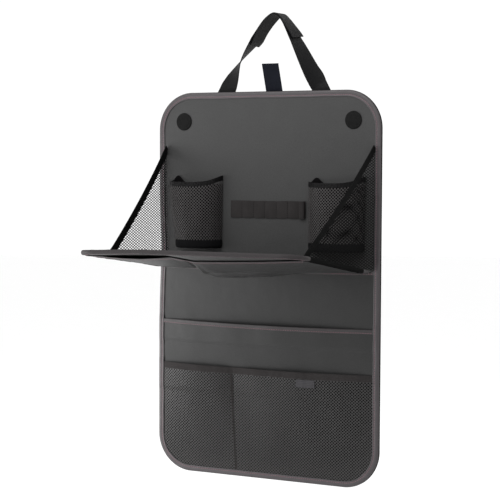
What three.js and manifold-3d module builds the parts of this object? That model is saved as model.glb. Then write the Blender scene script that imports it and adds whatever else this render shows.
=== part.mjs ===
// A seat-back organiser that covers the rear of a car seat: a padded panel with a bound edge,
// flat pockets, mesh cup pockets, a headrest strap and a fold-down tray on a cloth hinge.
// Millimetres. x runs across the panel, -y faces the passenger behind the seat, z is up.
import * as THREE from 'three';
import { mergeVertices } from 'three/addons/utils/BufferGeometryUtils.js';
import Module from 'manifold-3d';

const wasm = await Module();
wasm.setup();

// Driving dimensions of the panel
const panelWidth = 420;
const panelHeight = 660;
const panelCorner = 64;
const coverCloth = 1.2;
const coreBoard = 3;
const backCloth = 0.8;
const bindingLap = 11;
const bindingCloth = 1;
const sewnGap = 0.3;
const cornerSteps = 8;

// Driving dimensions of the flat pockets, as heights above the panel's foot
const pocketCloth = 0.8;
const pocketSlack = 8;
const pocketGatherDip = 2;
const middleSeam = 150;
const upperSeam = 235;
const upperMouth = 357;
const middleMouth = 266;
const lowerMouth = 191;
const hemHeight = 7;
const elasticHeight = 12;
const dividerFromMiddle = 60;
const labelX = 76;
const labelWidth = 34;
const labelHeight = 13;
const labelCloth = 1;

// Driving dimensions of the cup pockets
const cupWidth = 101;
const cupSideMargin = 26;
const cupDepth = 38;
const cupAboveHinge = 30.6;
const cupHeight = 119;
const cupBaseHeight = 14;
const cupElastic = 8;
const cupMesh = 1;
const cupDip = 8;

// Driving dimensions of the pen loop, the fastening dots and the tab
const penFromMiddle = 67;
const penWidth = 141;
const penHeight = 29;
const penFoot = 446;
const penCells = 6;
const penEndCell = 11;
const penElastic = 0.9;
const penLift = 1.4;
const penEndLift = 6.3;
const dotRadius = 15;
const dotPile = 1.5;
const dotFromSide = 50;
const dotFromTop = 50;
const tabWidth = 31;
const tabHeight = 45;
const tabX = 10.5;
const tabLean = 9;

// Driving dimensions of the tray and its mesh gussets
const trayTilt = 8;
const trayFromSide = 10;
const trayFromTop = 9.6;
const trayCorner = 36;
const trayCover = 1;
const trayBoard = 2.4;
const trayBinding = 0.9;
const hingeOut = 10;
const hingeZ = 362.4;
const hingeFoldRadius = 1.4;
const hingeCloth = 0.9;
const hingeEndMargin = 2;
const trayPocketSlack = 20;
const gussetFromSide = 13;
const gussetLeanIn = 23;
const gussetReach = 199;
const gussetFromTop = 94;
const gussetMesh = 0.9;
const gussetTape = 8.5;
const gussetTapeCloth = 1.6;
const gussetBow = 9;

// Driving dimensions of the two webbing straps that overlap round the headrest
const webWidth = 30;
const webCloth = 1.6;
const webSewnDown = 24;
const strapPeakX = 18;
const strapPeakZ = 790;
const leftFootFromMiddle = 81;
const rightFootFromMiddle = 98;

// Layers of the panel, from the front cover's face at y = 0 to the back
const coreFront = coverCloth + sewnGap;
const backFront = coreFront + coreBoard + sewnGap;
const panelBack = backFront + backCloth;
const bindingFront = -sewnGap - bindingCloth;
const bindingBack = panelBack + sewnGap + bindingCloth;
const coverInset = bindingCloth + sewnGap;
const facingHalf = panelWidth / 2 - bindingLap - sewnGap;
const dividerX = -dividerFromMiddle;
const strapY = bindingBack + sewnGap + webCloth / 2;

const finishes = {
  leather: { color: 0x4a4a4b, roughness: 0.55 },
  binding: { color: 0x6d6668, roughness: 0.6 },
  backing: { color: 0x1b1b1c, roughness: 0.9 },
  board: { color: 0x2c2c2c, roughness: 0.8 },
  mesh: { color: 0x1c1c1d, roughness: 0.85 },
  elastic: { color: 0x151516, roughness: 0.8 },
  webbing: { color: 0x161617, roughness: 0.75 },
  fastener: { color: 0x0e0e0f, roughness: 0.95 },
  label: { color: 0x5c5c5e, roughness: 0.7 },
};

function piece(name, geometry, finish) {
  const material = new THREE.MeshStandardMaterial({ metalness: 0, ...finishes[finish] });
  const mesh = new THREE.Mesh(geometry, material);
  mesh.name = name;
  return mesh;
}

function enclosedVolume(points, faces) {
  const share = ([a, b, c]) => points[a].dot(new THREE.Vector3().crossVectors(points[b], points[c]));
  return faces.reduce((sum, face) => sum + share(face), 0) / 6;
}

// One closed body from points and triangles, turned so that its faces point out
function closedBody(points, faces) {
  const turned = enclosedVolume(points, faces) < 0;
  const geometry = new THREE.BufferGeometry();
  const coordinates = points.flatMap((point) => point.toArray());
  geometry.setAttribute('position', new THREE.Float32BufferAttribute(coordinates, 3));
  geometry.setIndex(faces.flatMap(([a, b, c]) => (turned ? [a, c, b] : [a, b, c])));
  return geometry;
}

// A skin of cells between two faces: place(u, v, side) gives its points, and each cell
// for which isOpen(column, row) holds has a diamond hole through it
function skin(columns, rows, place, isOpen = () => false, holeShare = 0.72) {
  const points = [];
  const faces = [];
  const add = (point) => points.push(point) - 1;
  const corners = [0, 1].map((side) => Array.from({ length: rows + 1 }, (_, j) => (
    Array.from({ length: columns + 1 }, (_, i) => add(place(i / columns, j / rows, side)))
  )));
  const quad = (a, b, c, d) => faces.push([a, b, c], [a, c, d]);
  const wall = (a, b, side0, side1) => quad(side1[b], side1[a], side0[a], side0[b]);
  const diamond = (i, j, side) => [[0, -1], [1, 0], [0, 1], [-1, 0]].map(([across, along]) => add(place(
    (i + 0.5 + (across * holeShare) / 2) / columns,
    (j + 0.5 + (along * holeShare) / 2) / rows,
    side,
  )));
  const cell = (i, j, side) => {
    const at = corners[side];
    return [at[j][i], at[j][i + 1], at[j + 1][i + 1], at[j + 1][i]];
  };
  const rim = (ring, hole, next, k) => [[ring[k], ring[next], hole[k]], [ring[next], hole[next], hole[k]]];
  for (let j = 0; j < rows; j += 1) {
    for (let i = 0; i < columns; i += 1) {
      const rings = [cell(i, j, 0), cell(i, j, 1)];
      const holes = isOpen(i, j) ? [diamond(i, j, 0), diamond(i, j, 1)] : null;
      if (!holes) {
        quad(...rings[1]);
        quad(...[...rings[0]].reverse());
      }
      for (let k = 0; holes && k < 4; k += 1) {
        const next = (k + 1) % 4;
        faces.push(...rim(rings[1], holes[1], next, k));
        faces.push(...rim(rings[0], holes[0], next, k).map(([a, b, c]) => [a, c, b]));
        quad(holes[1][k], holes[1][next], holes[0][next], holes[0][k]);
      }
      if (j === 0) wall(0, 1, rings[0], rings[1]);
      if (i === columns - 1) wall(1, 2, rings[0], rings[1]);
      if (j === rows - 1) wall(2, 3, rings[0], rings[1]);
      if (i === 0) wall(3, 0, rings[0], rings[1]);
    }
  }
  return closedBody(points, faces);
}

// A closed body lofted through rings of points, capped at both ends. Opposite walls are cut along
// matching diagonals, so that two twisted bodies can lie face to face
function loft(rings) {
  const count = rings[0].length;
  const faces = [];
  for (let i = 0; i + 1 < rings.length; i += 1) {
    for (let k = 0; k < count; k += 1) {
      const next = (k + 1) % count;
      const [a, b] = [i * count + k, i * count + next];
      if (k < count / 2) faces.push([a, b, b + count], [a, b + count, a + count]);
      else faces.push([a, b, a + count], [b, b + count, a + count]);
    }
  }
  const last = (rings.length - 1) * count;
  for (let k = 1; k + 1 < count; k += 1) {
    faces.push([0, k + 1, k], [last, last + k, last + k + 1]);
  }
  return closedBody(rings.flat(), faces);
}

function solidOf(geometry) {
  const bare = geometry.clone();
  bare.deleteAttribute('normal');
  bare.deleteAttribute('uv');
  const merged = mergeVertices(bare);
  return new wasm.Manifold(new wasm.Mesh({
    numProp: 3,
    vertProperties: new Float32Array(merged.attributes.position.array),
    triVerts: new Uint32Array(merged.index.array),
  }));
}

function geometryOf(solid) {
  const mesh = solid.getMesh();
  const geometry = new THREE.BufferGeometry();
  geometry.setAttribute('position', new THREE.BufferAttribute(mesh.vertProperties, 3));
  geometry.setIndex(new THREE.BufferAttribute(mesh.triVerts, 1));
  return geometry;
}

function extruded(shape, depth) {
  return new THREE.ExtrudeGeometry(shape, { depth, bevelEnabled: false, curveSegments: cornerSteps });
}

// A rectangle from x = -width / 2 and y = foot, with a radius at its lower and its upper corners
function roundedShape(width, foot, head, lowerRadius, upperRadius) {
  const half = width / 2;
  const shape = new THREE.Shape();
  shape.moveTo(-half + lowerRadius, foot);
  shape.lineTo(half - lowerRadius, foot);
  if (lowerRadius) shape.absarc(half - lowerRadius, foot + lowerRadius, lowerRadius, -Math.PI / 2, 0);
  shape.lineTo(half, head - upperRadius);
  if (upperRadius) shape.absarc(half - upperRadius, head - upperRadius, upperRadius, 0, Math.PI / 2);
  shape.lineTo(-half + upperRadius, head);
  if (upperRadius) shape.absarc(-half + upperRadius, head - upperRadius, upperRadius, Math.PI / 2, Math.PI);
  shape.lineTo(-half, foot + lowerRadius);
  if (lowerRadius) shape.absarc(-half + lowerRadius, foot + lowerRadius, lowerRadius, Math.PI, Math.PI * 1.5);
  return shape;
}

// An upright plate whose shape is drawn in x and z, from y = front to front + thickness
function uprightPlate(shape, front, thickness) {
  return extruded(shape, thickness).rotateX(Math.PI / 2).translate(0, front + thickness, 0);
}

function panelShape(inset) {
  const radius = panelCorner - inset;
  return roundedShape(panelWidth - 2 * inset, inset, panelHeight - inset, radius, radius);
}

function panelBinding() {
  const body = solidOf(uprightPlate(panelShape(0), bindingFront, bindingBack - bindingFront));
  const channel = solidOf(uprightPlate(panelShape(bindingCloth), -sewnGap, panelBack + 2 * sewnGap));
  const margin = 2 * bindingCloth;
  const window = solidOf(uprightPlate(
    panelShape(bindingLap),
    bindingFront - margin,
    bindingBack - bindingFront + 2 * margin,
  ));
  return geometryOf(body.subtract(channel).subtract(window));
}

function buildPanel() {
  return [
    piece('front_cover', uprightPlate(panelShape(coverInset), 0, coverCloth), 'leather'),
    piece('core_board', uprightPlate(panelShape(bindingLap), coreFront, coreBoard), 'board'),
    piece('back_cloth', uprightPlate(panelShape(coverInset), backFront, backCloth), 'backing'),
    piece('edge_binding', panelBinding(), 'binding'),
  ];
}

// How much of its slack a pocket shows: none at its sides, all in its middle
const crown = (share) => 1 - share * share;

// How much of its slack a pocket shows: none at its seam, all at its mouth
const swell = (share) => share * share * (3 - 2 * share);

const panelCrown = (x) => crown(x / facingHalf);

function compartmentCrown(x) {
  const [from, to] = x < dividerX ? [-facingHalf, dividerX] : [dividerX, facingHalf];
  return crown((2 * x - from - to) / (to - from));
}

// The flat pockets lie one on another, each sewn through the one that it covers
const clothPitch = pocketCloth + sewnGap;
const upperPocket = { seam: upperSeam, mouth: upperMouth, over: null, crownAt: panelCrown };
const middlePocket = { seam: middleSeam, mouth: middleMouth, over: upperPocket, crownAt: panelCrown };
const lowerPocket = {
  seam: bindingLap + sewnGap,
  mouth: lowerMouth,
  over: middlePocket,
  crownAt: compartmentCrown,
};

function pocketBackY(pocket, x, z) {
  const rise = THREE.MathUtils.clamp((z - pocket.seam) / (pocket.mouth - pocket.seam), 0, 1);
  const ground = pocket.over ? pocketBackY(pocket.over, x, z) - clothPitch : -sewnGap;
  return ground - pocketSlack * pocket.crownAt(x) * swell(rise);
}

// A strip of a pocket from z = foot to z = head, lifted off the pocket's back surface
function pocketStrip(pocket, foot, head, lift, thickness) {
  return (u, v, side) => {
    const x = THREE.MathUtils.lerp(-facingHalf, facingHalf, u);
    const z = THREE.MathUtils.lerp(foot, head, v);
    const dip = pocketGatherDip * panelCrown(x) * swell((z - pocket.seam) / (pocket.mouth - pocket.seam));
    return new THREE.Vector3(x, pocketBackY(pocket, x, z) - lift - side * thickness, z - dip);
  };
}

function lowerCornerCut(geometry) {
  const reach = pocketSlack + 4 * clothPitch;
  const inside = solidOf(uprightPlate(panelShape(bindingLap + sewnGap), -reach, reach));
  return geometryOf(solidOf(geometry).intersect(inside));
}

function buildFlatPockets() {
  const hemLift = pocketCloth + sewnGap;
  const hemCloth = pocketCloth;
  const bandFoot = lowerMouth - elasticHeight;
  const columns = 12;
  const rows = 4;
  const upper = pocketStrip(upperPocket, upperSeam, upperMouth, 0, pocketCloth);
  const upperHem = pocketStrip(upperPocket, upperMouth - hemHeight, upperMouth, hemLift, hemCloth);
  const middle = pocketStrip(middlePocket, middleSeam, middleMouth, 0, pocketCloth);
  const middleHem = pocketStrip(middlePocket, middleMouth - hemHeight, middleMouth, hemLift, hemCloth);
  const net = pocketStrip(lowerPocket, lowerPocket.seam, bandFoot - sewnGap, 0, pocketCloth);
  const band = pocketStrip(lowerPocket, bandFoot, lowerMouth, 0, pocketCloth + sewnGap);
  const netColumns = 17;
  const netRows = 7;
  const cornerCells = 3;
  const isCorner = (i, j) => j < cornerCells && Math.min(i, netColumns - 1 - i) < cornerCells;
  const isOpen = (i, j) => i > 0 && i < netColumns - 1 && j > 0 && !isCorner(i, j);
  return [
    piece('upper_pocket', skin(columns, rows, upper), 'leather'),
    piece('upper_pocket_hem', skin(columns, 1, upperHem), 'leather'),
    piece('middle_pocket', skin(columns, rows, middle), 'leather'),
    piece('middle_pocket_hem', skin(columns, 1, middleHem), 'leather'),
    piece('lower_mesh_pocket', lowerCornerCut(skin(netColumns, netRows, net, isOpen)), 'mesh'),
    piece('lower_pocket_elastic', skin(netColumns, 1, band), 'elastic'),
    piece('pocket_tab', pocketTab(), 'label'),
  ];
}

// A bare cloth tab sewn below the elastic, flat in front of the swelling pocket
function pocketTab() {
  const head = lowerMouth - elasticHeight - pocketGatherDip - sewnGap;
  const ends = [labelX - labelWidth / 2, labelX + labelWidth / 2];
  const peak = (dividerX + facingHalf) / 2;
  const candidates = [...ends, THREE.MathUtils.clamp(peak, ...ends)];
  const front = Math.min(...candidates.map((x) => pocketBackY(lowerPocket, x, head))) - pocketCloth - sewnGap;
  const tab = new THREE.BoxGeometry(labelWidth, labelCloth, labelHeight);
  return tab.translate(labelX, front - labelCloth / 2, head - labelHeight / 2);
}

const cupFoot = hingeZ + cupAboveHinge;
const cupMouth = cupFoot + cupHeight;

// A cup pocket bows out from the panel along half an oval; u runs round it, side is inner or outer
function cupWall(centreX, foot, head, thickness) {
  return (u, v, side) => {
    const angle = Math.PI * (1 - u);
    const grow = side * thickness;
    const x = centreX + (cupWidth / 2 - thickness + grow) * Math.cos(angle);
    const y = -sewnGap - (cupDepth - thickness + grow) * Math.sin(angle);
    return new THREE.Vector3(x, y, THREE.MathUtils.lerp(foot(u), head(u), v));
  };
}

function ovalShape(width, depth) {
  const shape = new THREE.Shape();
  shape.moveTo(-width / 2, 0);
  shape.absellipse(0, 0, width / 2, depth, Math.PI, 2 * Math.PI);
  shape.lineTo(-width / 2, 0);
  return shape;
}

function cupBase(centreX) {
  const floorTop = cupMesh + sewnGap;
  const outer = solidOf(extruded(ovalShape(cupWidth, cupDepth), cupBaseHeight));
  const innerShape = ovalShape(cupWidth - 2 * cupMesh, cupDepth - cupMesh);
  const inner = solidOf(extruded(innerShape, cupBaseHeight).translate(0, 0, floorTop));
  return geometryOf(outer.subtract(inner)).translate(centreX, -sewnGap, cupFoot);
}

function buildCup(side, sign) {
  const centreX = sign * (panelWidth / 2 - cupSideMargin - cupWidth / 2);
  const dip = (u) => cupDip * Math.sin(Math.PI * u) ** 2;
  const meshFoot = () => cupFoot + cupBaseHeight + sewnGap;
  const meshHead = (u) => cupMouth - cupElastic - sewnGap - dip(u);
  const bandFoot = (u) => cupMouth - cupElastic - dip(u);
  const bandHead = (u) => cupMouth - dip(u);
  const columns = 12;
  const rows = 4;
  const isOpen = (i) => i > 0 && i < columns - 1;
  return [
    piece(`${side}_cup_mesh`, skin(columns, rows, cupWall(centreX, meshFoot, meshHead, cupMesh), isOpen), 'mesh'),
    piece(`${side}_cup_elastic`, skin(columns, 1, cupWall(centreX, bandFoot, bandHead, cupMesh)), 'elastic'),
    piece(`${side}_cup_base`, cupBase(centreX), 'backing'),
  ];
}

// The elastic lies in shallow loops between its stitched divisions, and ends in one that stands up
function penLoopOutline(lift) {
  const points = [];
  const cellWidth = (penWidth - penEndCell) / penCells;
  const steps = 4;
  for (let cell = 0; cell < penCells; cell += 1) {
    for (let k = 0; k < steps; k += 1) {
      const x = -penFromMiddle + (cell + k / steps) * cellWidth;
      points.push(new THREE.Vector2(x, sewnGap + lift + penLift * Math.sin((Math.PI * k) / steps)));
    }
  }
  const endFrom = -penFromMiddle + penWidth - penEndCell;
  const wallSetback = lift > 0 ? 0 : penElastic;
  const endSteps = 8;
  for (let k = 0; k <= endSteps; k += 1) {
    const angle = (Math.PI * k) / endSteps;
    const reach = penEndCell / 2 - wallSetback;
    const x = endFrom + penEndCell / 2 - reach * Math.cos(angle);
    points.push(new THREE.Vector2(x, sewnGap + lift + (penEndLift - penElastic) * Math.sin(angle) ** 0.5));
  }
  return points;
}

function buildPenLoop() {
  const outline = [...penLoopOutline(0), ...penLoopOutline(penElastic).reverse()];
  const shape = new THREE.Shape(outline.map(({ x, y }) => new THREE.Vector2(x, -y)));
  return piece('pen_loop_elastic', extruded(shape, penHeight).translate(0, 0, penFoot), 'elastic');
}

function dot(name, x, y, z) {
  const disc = new THREE.CylinderGeometry(dotRadius, dotRadius, dotPile, 20);
  return piece(name, disc.translate(x, y, z), 'fastener');
}

const dotX = panelWidth / 2 - dotFromSide;
const dotZ = panelHeight - dotFromTop;

function buildLoopDots() {
  const y = -sewnGap - dotPile / 2;
  return [dot('left_loop_dot', -dotX, y, dotZ), dot('right_loop_dot', dotX, y, dotZ)];
}

function buildTab() {
  const foot = panelHeight - webSewnDown;
  const shape = new THREE.Shape();
  const lean = (-tabLean * tabHeight) / (tabHeight + webSewnDown);
  shape.moveTo(tabX - tabWidth / 2, foot);
  shape.lineTo(tabX + tabWidth / 2, foot);
  shape.lineTo(tabX + tabWidth / 2, panelHeight);
  shape.lineTo(tabX + tabWidth / 2 + lean, panelHeight + tabHeight);
  shape.lineTo(tabX - tabWidth / 2 + lean, panelHeight + tabHeight);
  shape.lineTo(tabX - tabWidth / 2, panelHeight);
  return piece('top_tab', uprightPlate(shape, strapY - webCloth / 2, webCloth), 'webbing');
}

// The strap's line: how far each place has come in from its foot to the peak, how far it has risen
// to the peak, and how far its width has turned from lying across the panel
const leftLeg = (inward) => THREE.MathUtils.lerp(-leftFootFromMiddle, strapPeakX, inward);
const rightLeg = (inward) => THREE.MathUtils.lerp(rightFootFromMiddle, strapPeakX, inward);
const strapLine = [
  { x: leftLeg(0), rise: -1, turn: 0 },
  { x: leftLeg(0), rise: 0.06, turn: 0 },
  { x: leftLeg(0.09), rise: 0.18, turn: 19 },
  { x: leftLeg(0.293), rise: 0.41, turn: 63 },
  { x: leftLeg(0.576), rise: 0.68, turn: 103 },
  { x: leftLeg(0.848), rise: 0.93, turn: 106 },
  { x: leftLeg(1), rise: 1, turn: 96 },
  { x: rightLeg(0.838), rise: 0.93, turn: 94 },
  { x: rightLeg(0.575), rise: 0.66, turn: 108 },
  { x: rightLeg(0.25), rise: 0.28, turn: 138 },
  { x: rightLeg(0.088), rise: 0.15, turn: 165 },
  { x: rightLeg(0), rise: 0.06, turn: 180 },
  { x: rightLeg(0), rise: -1, turn: 180 },
];

const strapRise = strapPeakZ - panelHeight;
const strapHeight = (rise) => panelHeight + (rise < 0 ? rise * webSewnDown : rise * strapRise);
const strapCurve = new THREE.CatmullRomCurve3(
  strapLine.map(({ x, rise }) => new THREE.Vector3(x, strapY, strapHeight(rise))),
  false,
  'centripetal',
);

function strapTurn(t) {
  const place = t * (strapLine.length - 1);
  const from = Math.min(Math.floor(place), strapLine.length - 2);
  const turn = THREE.MathUtils.lerp(strapLine[from].turn, strapLine[from + 1].turn, place - from);
  return THREE.MathUtils.degToRad(turn);
}

// A rectangular section of webbing at t, lifted off the strap's line towards its outer face
function strapSection(t, lift) {
  const along = strapCurve.getTangent(t);
  const turn = strapTurn(t);
  const across = new THREE.Vector3(Math.cos(turn), -Math.sin(turn), 0);
  across.addScaledVector(along, -across.dot(along)).normalize();
  const outward = new THREE.Vector3().crossVectors(across, along);
  const centre = strapCurve.getPoint(t).addScaledVector(outward, lift);
  const corners = [[-1, -1], [1, -1], [1, 1], [-1, 1]];
  return corners.map(([a, b]) => centre.clone()
    .addScaledVector(across, (a * webWidth) / 2)
    .addScaledVector(outward, (b * webCloth) / 2));
}

// Both straps are cut into the same steps of the strap's line, so that they lie face to face
const strapSteps = 56;
const rightStrapEnd = 20;
const leftStrapEnd = 37;
const diveEnd = 40;
const diveStart = 50;

function webbing(name, first, last, lift) {
  const rings = [];
  for (let step = first; step <= last; step += 1) {
    rings.push(strapSection(step / strapSteps, lift(step)));
  }
  return piece(name, loft(rings), 'webbing');
}

// The left strap passes over the peak and the right strap lies under it, held by hook and loop
function buildStraps() {
  const under = -webCloth - sewnGap;
  const dive = (step) => under * (1 - THREE.MathUtils.smoothstep(step, diveEnd, diveStart));
  return [
    webbing('left_strap', 0, leftStrapEnd, () => 0),
    webbing('right_strap', rightStrapEnd, strapSteps, dive),
  ];
}

// The tray is laid out flat round its hinge line: -y is its depth, and z = 0 is its top cover's middle
const trayWidth = panelWidth - 2 * trayFromSide;
const trayDepth = panelHeight - hingeZ - trayFromTop;
const trayTop = trayCover / 2;
const boardTop = -trayTop - sewnGap;
const boardFoot = boardTop - trayBoard;
const coverFoot = boardFoot - sewnGap - trayCover;
const trayHigh = trayTop + sewnGap + trayBinding;
const trayLow = coverFoot - sewnGap - trayBinding;
const trayRear = 14;

function trayShape(inset, rear) {
  return roundedShape(trayWidth - 2 * inset, -trayDepth + inset, -rear, trayCorner - inset, 0);
}

function flatPlate(shape, foot, thickness) {
  return extruded(shape, thickness).translate(0, 0, foot);
}

function trayEdge() {
  const margin = 2 * trayBinding;
  const body = solidOf(flatPlate(trayShape(0, trayRear), trayLow, trayHigh - trayLow));
  const channel = solidOf(flatPlate(
    trayShape(trayBinding, trayRear - margin),
    coverFoot - sewnGap,
    trayTop - coverFoot + 2 * sewnGap,
  ));
  const window = solidOf(flatPlate(
    trayShape(bindingLap, trayRear - margin),
    trayLow - margin,
    trayHigh - trayLow + 2 * margin,
  ));
  return geometryOf(body.subtract(channel).subtract(window));
}

function trayPocket() {
  const half = trayWidth / 2 - bindingLap - sewnGap;
  const front = trayDepth - trayCorner;
  const back = -coverFoot + sewnGap;
  const belly = (v) => Math.sin(0.78 * Math.PI * v);
  return (u, v, side) => {
    const x = THREE.MathUtils.lerp(-half, half, u);
    const drop = back + trayPocketSlack * crown(2 * u - 1) * belly(v) + side * pocketCloth;
    return new THREE.Vector3(x, -THREE.MathUtils.lerp(trayRear, front, v), -drop);
  };
}

function buildTray() {
  const inset = trayBinding + sewnGap;
  const hingeRear = hingeFoldRadius + sewnGap;
  const tray = new THREE.Group();
  tray.position.set(0, -hingeOut, hingeZ);
  tray.rotation.x = -THREE.MathUtils.degToRad(trayTilt);
  const dotOut = dotZ - hingeZ;
  const dotHigh = trayTop + sewnGap + dotPile / 2;
  const hookDot = (name, x) => {
    const disc = dot(name, 0, 0, 0);
    disc.rotation.x = Math.PI / 2;
    disc.position.set(x, -dotOut, dotHigh);
    return disc;
  };
  tray.add(
    piece('tray_top_cover', flatPlate(trayShape(inset, hingeRear), -trayTop, trayCover), 'leather'),
    piece('tray_board', flatPlate(trayShape(bindingLap, trayRear), boardFoot, trayBoard), 'board'),
    piece('tray_bottom_cover', flatPlate(trayShape(inset, trayRear), coverFoot, trayCover), 'leather'),
    piece('tray_binding', trayEdge(), 'binding'),
    piece('tray_pocket', skin(12, 6, trayPocket()), 'leather'),
    hookDot('left_hook_dot', -dotX),
    hookDot('right_hook_dot', dotX),
  );
  return tray;
}

// The hinge is a fold of cloth sewn to the panel, with its bead on the tray's hinge line
function buildHingeFold() {
  const length = panelWidth - 2 * (gussetFromSide + gussetMesh + hingeEndMargin);
  const foldEnd = Math.asin(hingeCloth / 2 / hingeFoldRadius);
  const shape = new THREE.Shape();
  shape.moveTo(-sewnGap, hingeCloth / 2);
  shape.absarc(-hingeOut, 0, hingeFoldRadius, foldEnd, 2 * Math.PI - foldEnd);
  shape.lineTo(-sewnGap, -hingeCloth / 2);
  const strip = extruded(shape, length);
  strip.applyMatrix4(new THREE.Matrix4().set(0, 0, 1, -length / 2, 1, 0, 0, 0, 0, 1, 0, hingeZ, 0, 0, 0, 1));
  return piece('tray_hinge_cloth', strip, 'leather');
}

const gussetTop = panelHeight - gussetFromTop;

// A gusset spans from the panel to the tray; along runs out from the panel and up from the tray
function gussetPlace(sign, along, up, aside) {
  const slope = Math.tan(THREE.MathUtils.degToRad(trayTilt));
  const reach = gussetReach * Math.cos(THREE.MathUtils.degToRad(trayTilt));
  const x = panelWidth / 2 - gussetFromSide;
  const footZ = hingeZ + (trayHigh + sewnGap) * Math.hypot(1, slope) + (hingeOut - sewnGap) * -slope;
  const heel = new THREE.Vector3(x, -sewnGap, footZ);
  const toe = new THREE.Vector3(x - gussetLeanIn, -hingeOut - reach, footZ + (hingeOut + reach - sewnGap) * slope);
  const peak = new THREE.Vector3(x, -sewnGap, gussetTop - gussetTape);
  const tip = new THREE.Vector3(x, -sewnGap - gussetTape / 2, gussetTop - gussetTape / 2);
  const inside = heel.lerp(peak, up);
  const outside = toe.lerp(tip, up);
  const place = inside.lerp(outside, along);
  place.y += gussetBow * 4 * up * (1 - up) * along;
  place.x = sign * (place.x + aside);
  return place;
}

function buildGusset(side, sign) {
  const columns = 5;
  const rows = 8;
  const meshEnd = 1 - gussetTape / gussetReach;
  const tapeStart = meshEnd + sewnGap / gussetReach;
  const net = (u, v, face) => gussetPlace(sign, u * meshEnd, v, (face - 0.5) * gussetMesh);
  const tape = (u, v, face) => gussetPlace(
    sign,
    THREE.MathUtils.lerp(tapeStart, 1, u),
    v,
    (face - 0.5) * gussetTapeCloth,
  );
  return [
    piece(`${side}_gusset_mesh`, skin(columns, rows, net, (i, j) => j < rows - 1), 'mesh'),
    piece(`${side}_gusset_tape`, skin(1, rows, tape), 'elastic'),
  ];
}

const organiser = new THREE.Group();
organiser.add(
  ...buildPanel(),
  ...buildFlatPockets(),
  ...buildCup('left', -1),
  ...buildCup('right', 1),
  buildPenLoop(),
  ...buildLoopDots(),
  buildTab(),
  ...buildStraps(),
  ...buildGusset('left', -1),
  ...buildGusset('right', 1),
  buildHingeFold(),
  buildTray(),
);

// The organiser hangs by the peak of its strap, so that point is the origin
organiser.position.set(-strapPeakX, -strapY, -strapPeakZ);

const part = new THREE.Group();
part.add(organiser);

export default part;
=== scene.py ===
"""Looks of a hanging car seat-back organiser with a fold-down tray, cup pockets and mesh gussets.

Lengths in this file are millimetres in the panel's own frame: x runs across the panel from its
middle, y = 0 is the front cover's face and -y points at the viewer, and z = 0 is the panel's foot.
Bench.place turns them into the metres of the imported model's frame.
"""

from __future__ import annotations

import logging
import math
from dataclasses import dataclass
from enum import Enum
from typing import Callable, Sequence

import bpy
import numpy as np
from mathutils import Matrix, Vector


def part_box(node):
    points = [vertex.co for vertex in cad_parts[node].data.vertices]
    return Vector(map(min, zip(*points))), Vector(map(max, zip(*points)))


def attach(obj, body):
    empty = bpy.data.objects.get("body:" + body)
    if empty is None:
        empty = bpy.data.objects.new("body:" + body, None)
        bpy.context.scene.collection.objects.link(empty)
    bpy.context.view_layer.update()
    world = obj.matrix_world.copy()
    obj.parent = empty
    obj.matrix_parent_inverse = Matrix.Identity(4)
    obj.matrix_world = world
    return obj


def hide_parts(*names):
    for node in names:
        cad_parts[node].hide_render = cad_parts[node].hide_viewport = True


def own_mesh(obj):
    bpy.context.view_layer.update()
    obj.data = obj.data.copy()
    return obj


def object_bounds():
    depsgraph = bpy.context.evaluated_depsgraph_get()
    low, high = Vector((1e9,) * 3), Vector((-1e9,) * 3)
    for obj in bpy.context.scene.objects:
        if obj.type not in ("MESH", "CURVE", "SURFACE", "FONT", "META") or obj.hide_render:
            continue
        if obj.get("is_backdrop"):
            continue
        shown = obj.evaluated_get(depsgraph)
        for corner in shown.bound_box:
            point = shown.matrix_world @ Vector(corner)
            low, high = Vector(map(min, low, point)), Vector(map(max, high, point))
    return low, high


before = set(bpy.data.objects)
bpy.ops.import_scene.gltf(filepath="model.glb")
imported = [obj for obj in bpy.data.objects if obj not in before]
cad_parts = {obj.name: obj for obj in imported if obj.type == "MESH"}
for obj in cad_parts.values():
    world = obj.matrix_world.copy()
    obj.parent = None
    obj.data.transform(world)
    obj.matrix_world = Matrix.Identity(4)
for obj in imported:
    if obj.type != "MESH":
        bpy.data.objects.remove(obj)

LOG = logging.getLogger("organiser")

Mapping = Callable[[np.ndarray, np.ndarray], np.ndarray]
Colour = tuple[float, float, float]

COVER_FACE = -0.3  # y of the surface that the pockets, cups, dots and gussets are sewn to
OUT_OF_FRONT = (0.0, -1.0, 0.0)  # direction off the panel's front
WAVES = ((0.3, 1.0), (1.4, 0.83), (2.3, 1.31), (0.9, 0.61), (2.9, 1.57))  # turn and share of pitch
WAVES_PEAK = 3.2  # the height that the waves reach together


# Small tools for numbers


def smooth(value: np.ndarray | float, low: float, high: float) -> np.ndarray:
    """Rises softly from 0 at low to 1 at high."""
    share = np.clip((np.asarray(value, float) - low) / (high - low), 0.0, 1.0)
    return share * share * (3.0 - 2.0 * share)


def crown(share: np.ndarray | float) -> np.ndarray:
    """One in the middle of a span, at 0, and none at its ends, at -1 and 1."""
    return 1.0 - np.square(np.clip(share, -1.0, 1.0))


def ripple(a: np.ndarray, b: np.ndarray, pitch: float, seed: float) -> np.ndarray:
    """Gives soft irregular waves from -1 to 1.

    Args:
        a: One coordinate of each point.
        b: The other coordinate.
        pitch: Typical distance between two waves.
        seed: Chooses one pattern of waves.

    Returns:
        The height of the waves at each point.
    """
    total = np.zeros(np.broadcast(a, b).shape)
    for k, (turn, stretch) in enumerate(WAVES):
        wave = 2.0 * math.pi * stretch / pitch
        phase = seed * (3.7 + k) + k * 1.9
        total += np.sin(wave * (a * math.cos(turn + seed) + b * math.sin(turn + seed)) + phase)
    return total / WAVES_PEAK


def stack(*columns: np.ndarray | float) -> np.ndarray:
    """Sets columns of numbers side by side, as points."""
    return np.stack(np.broadcast_arrays(*[np.asarray(c, float) for c in columns]), axis=-1)


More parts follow.
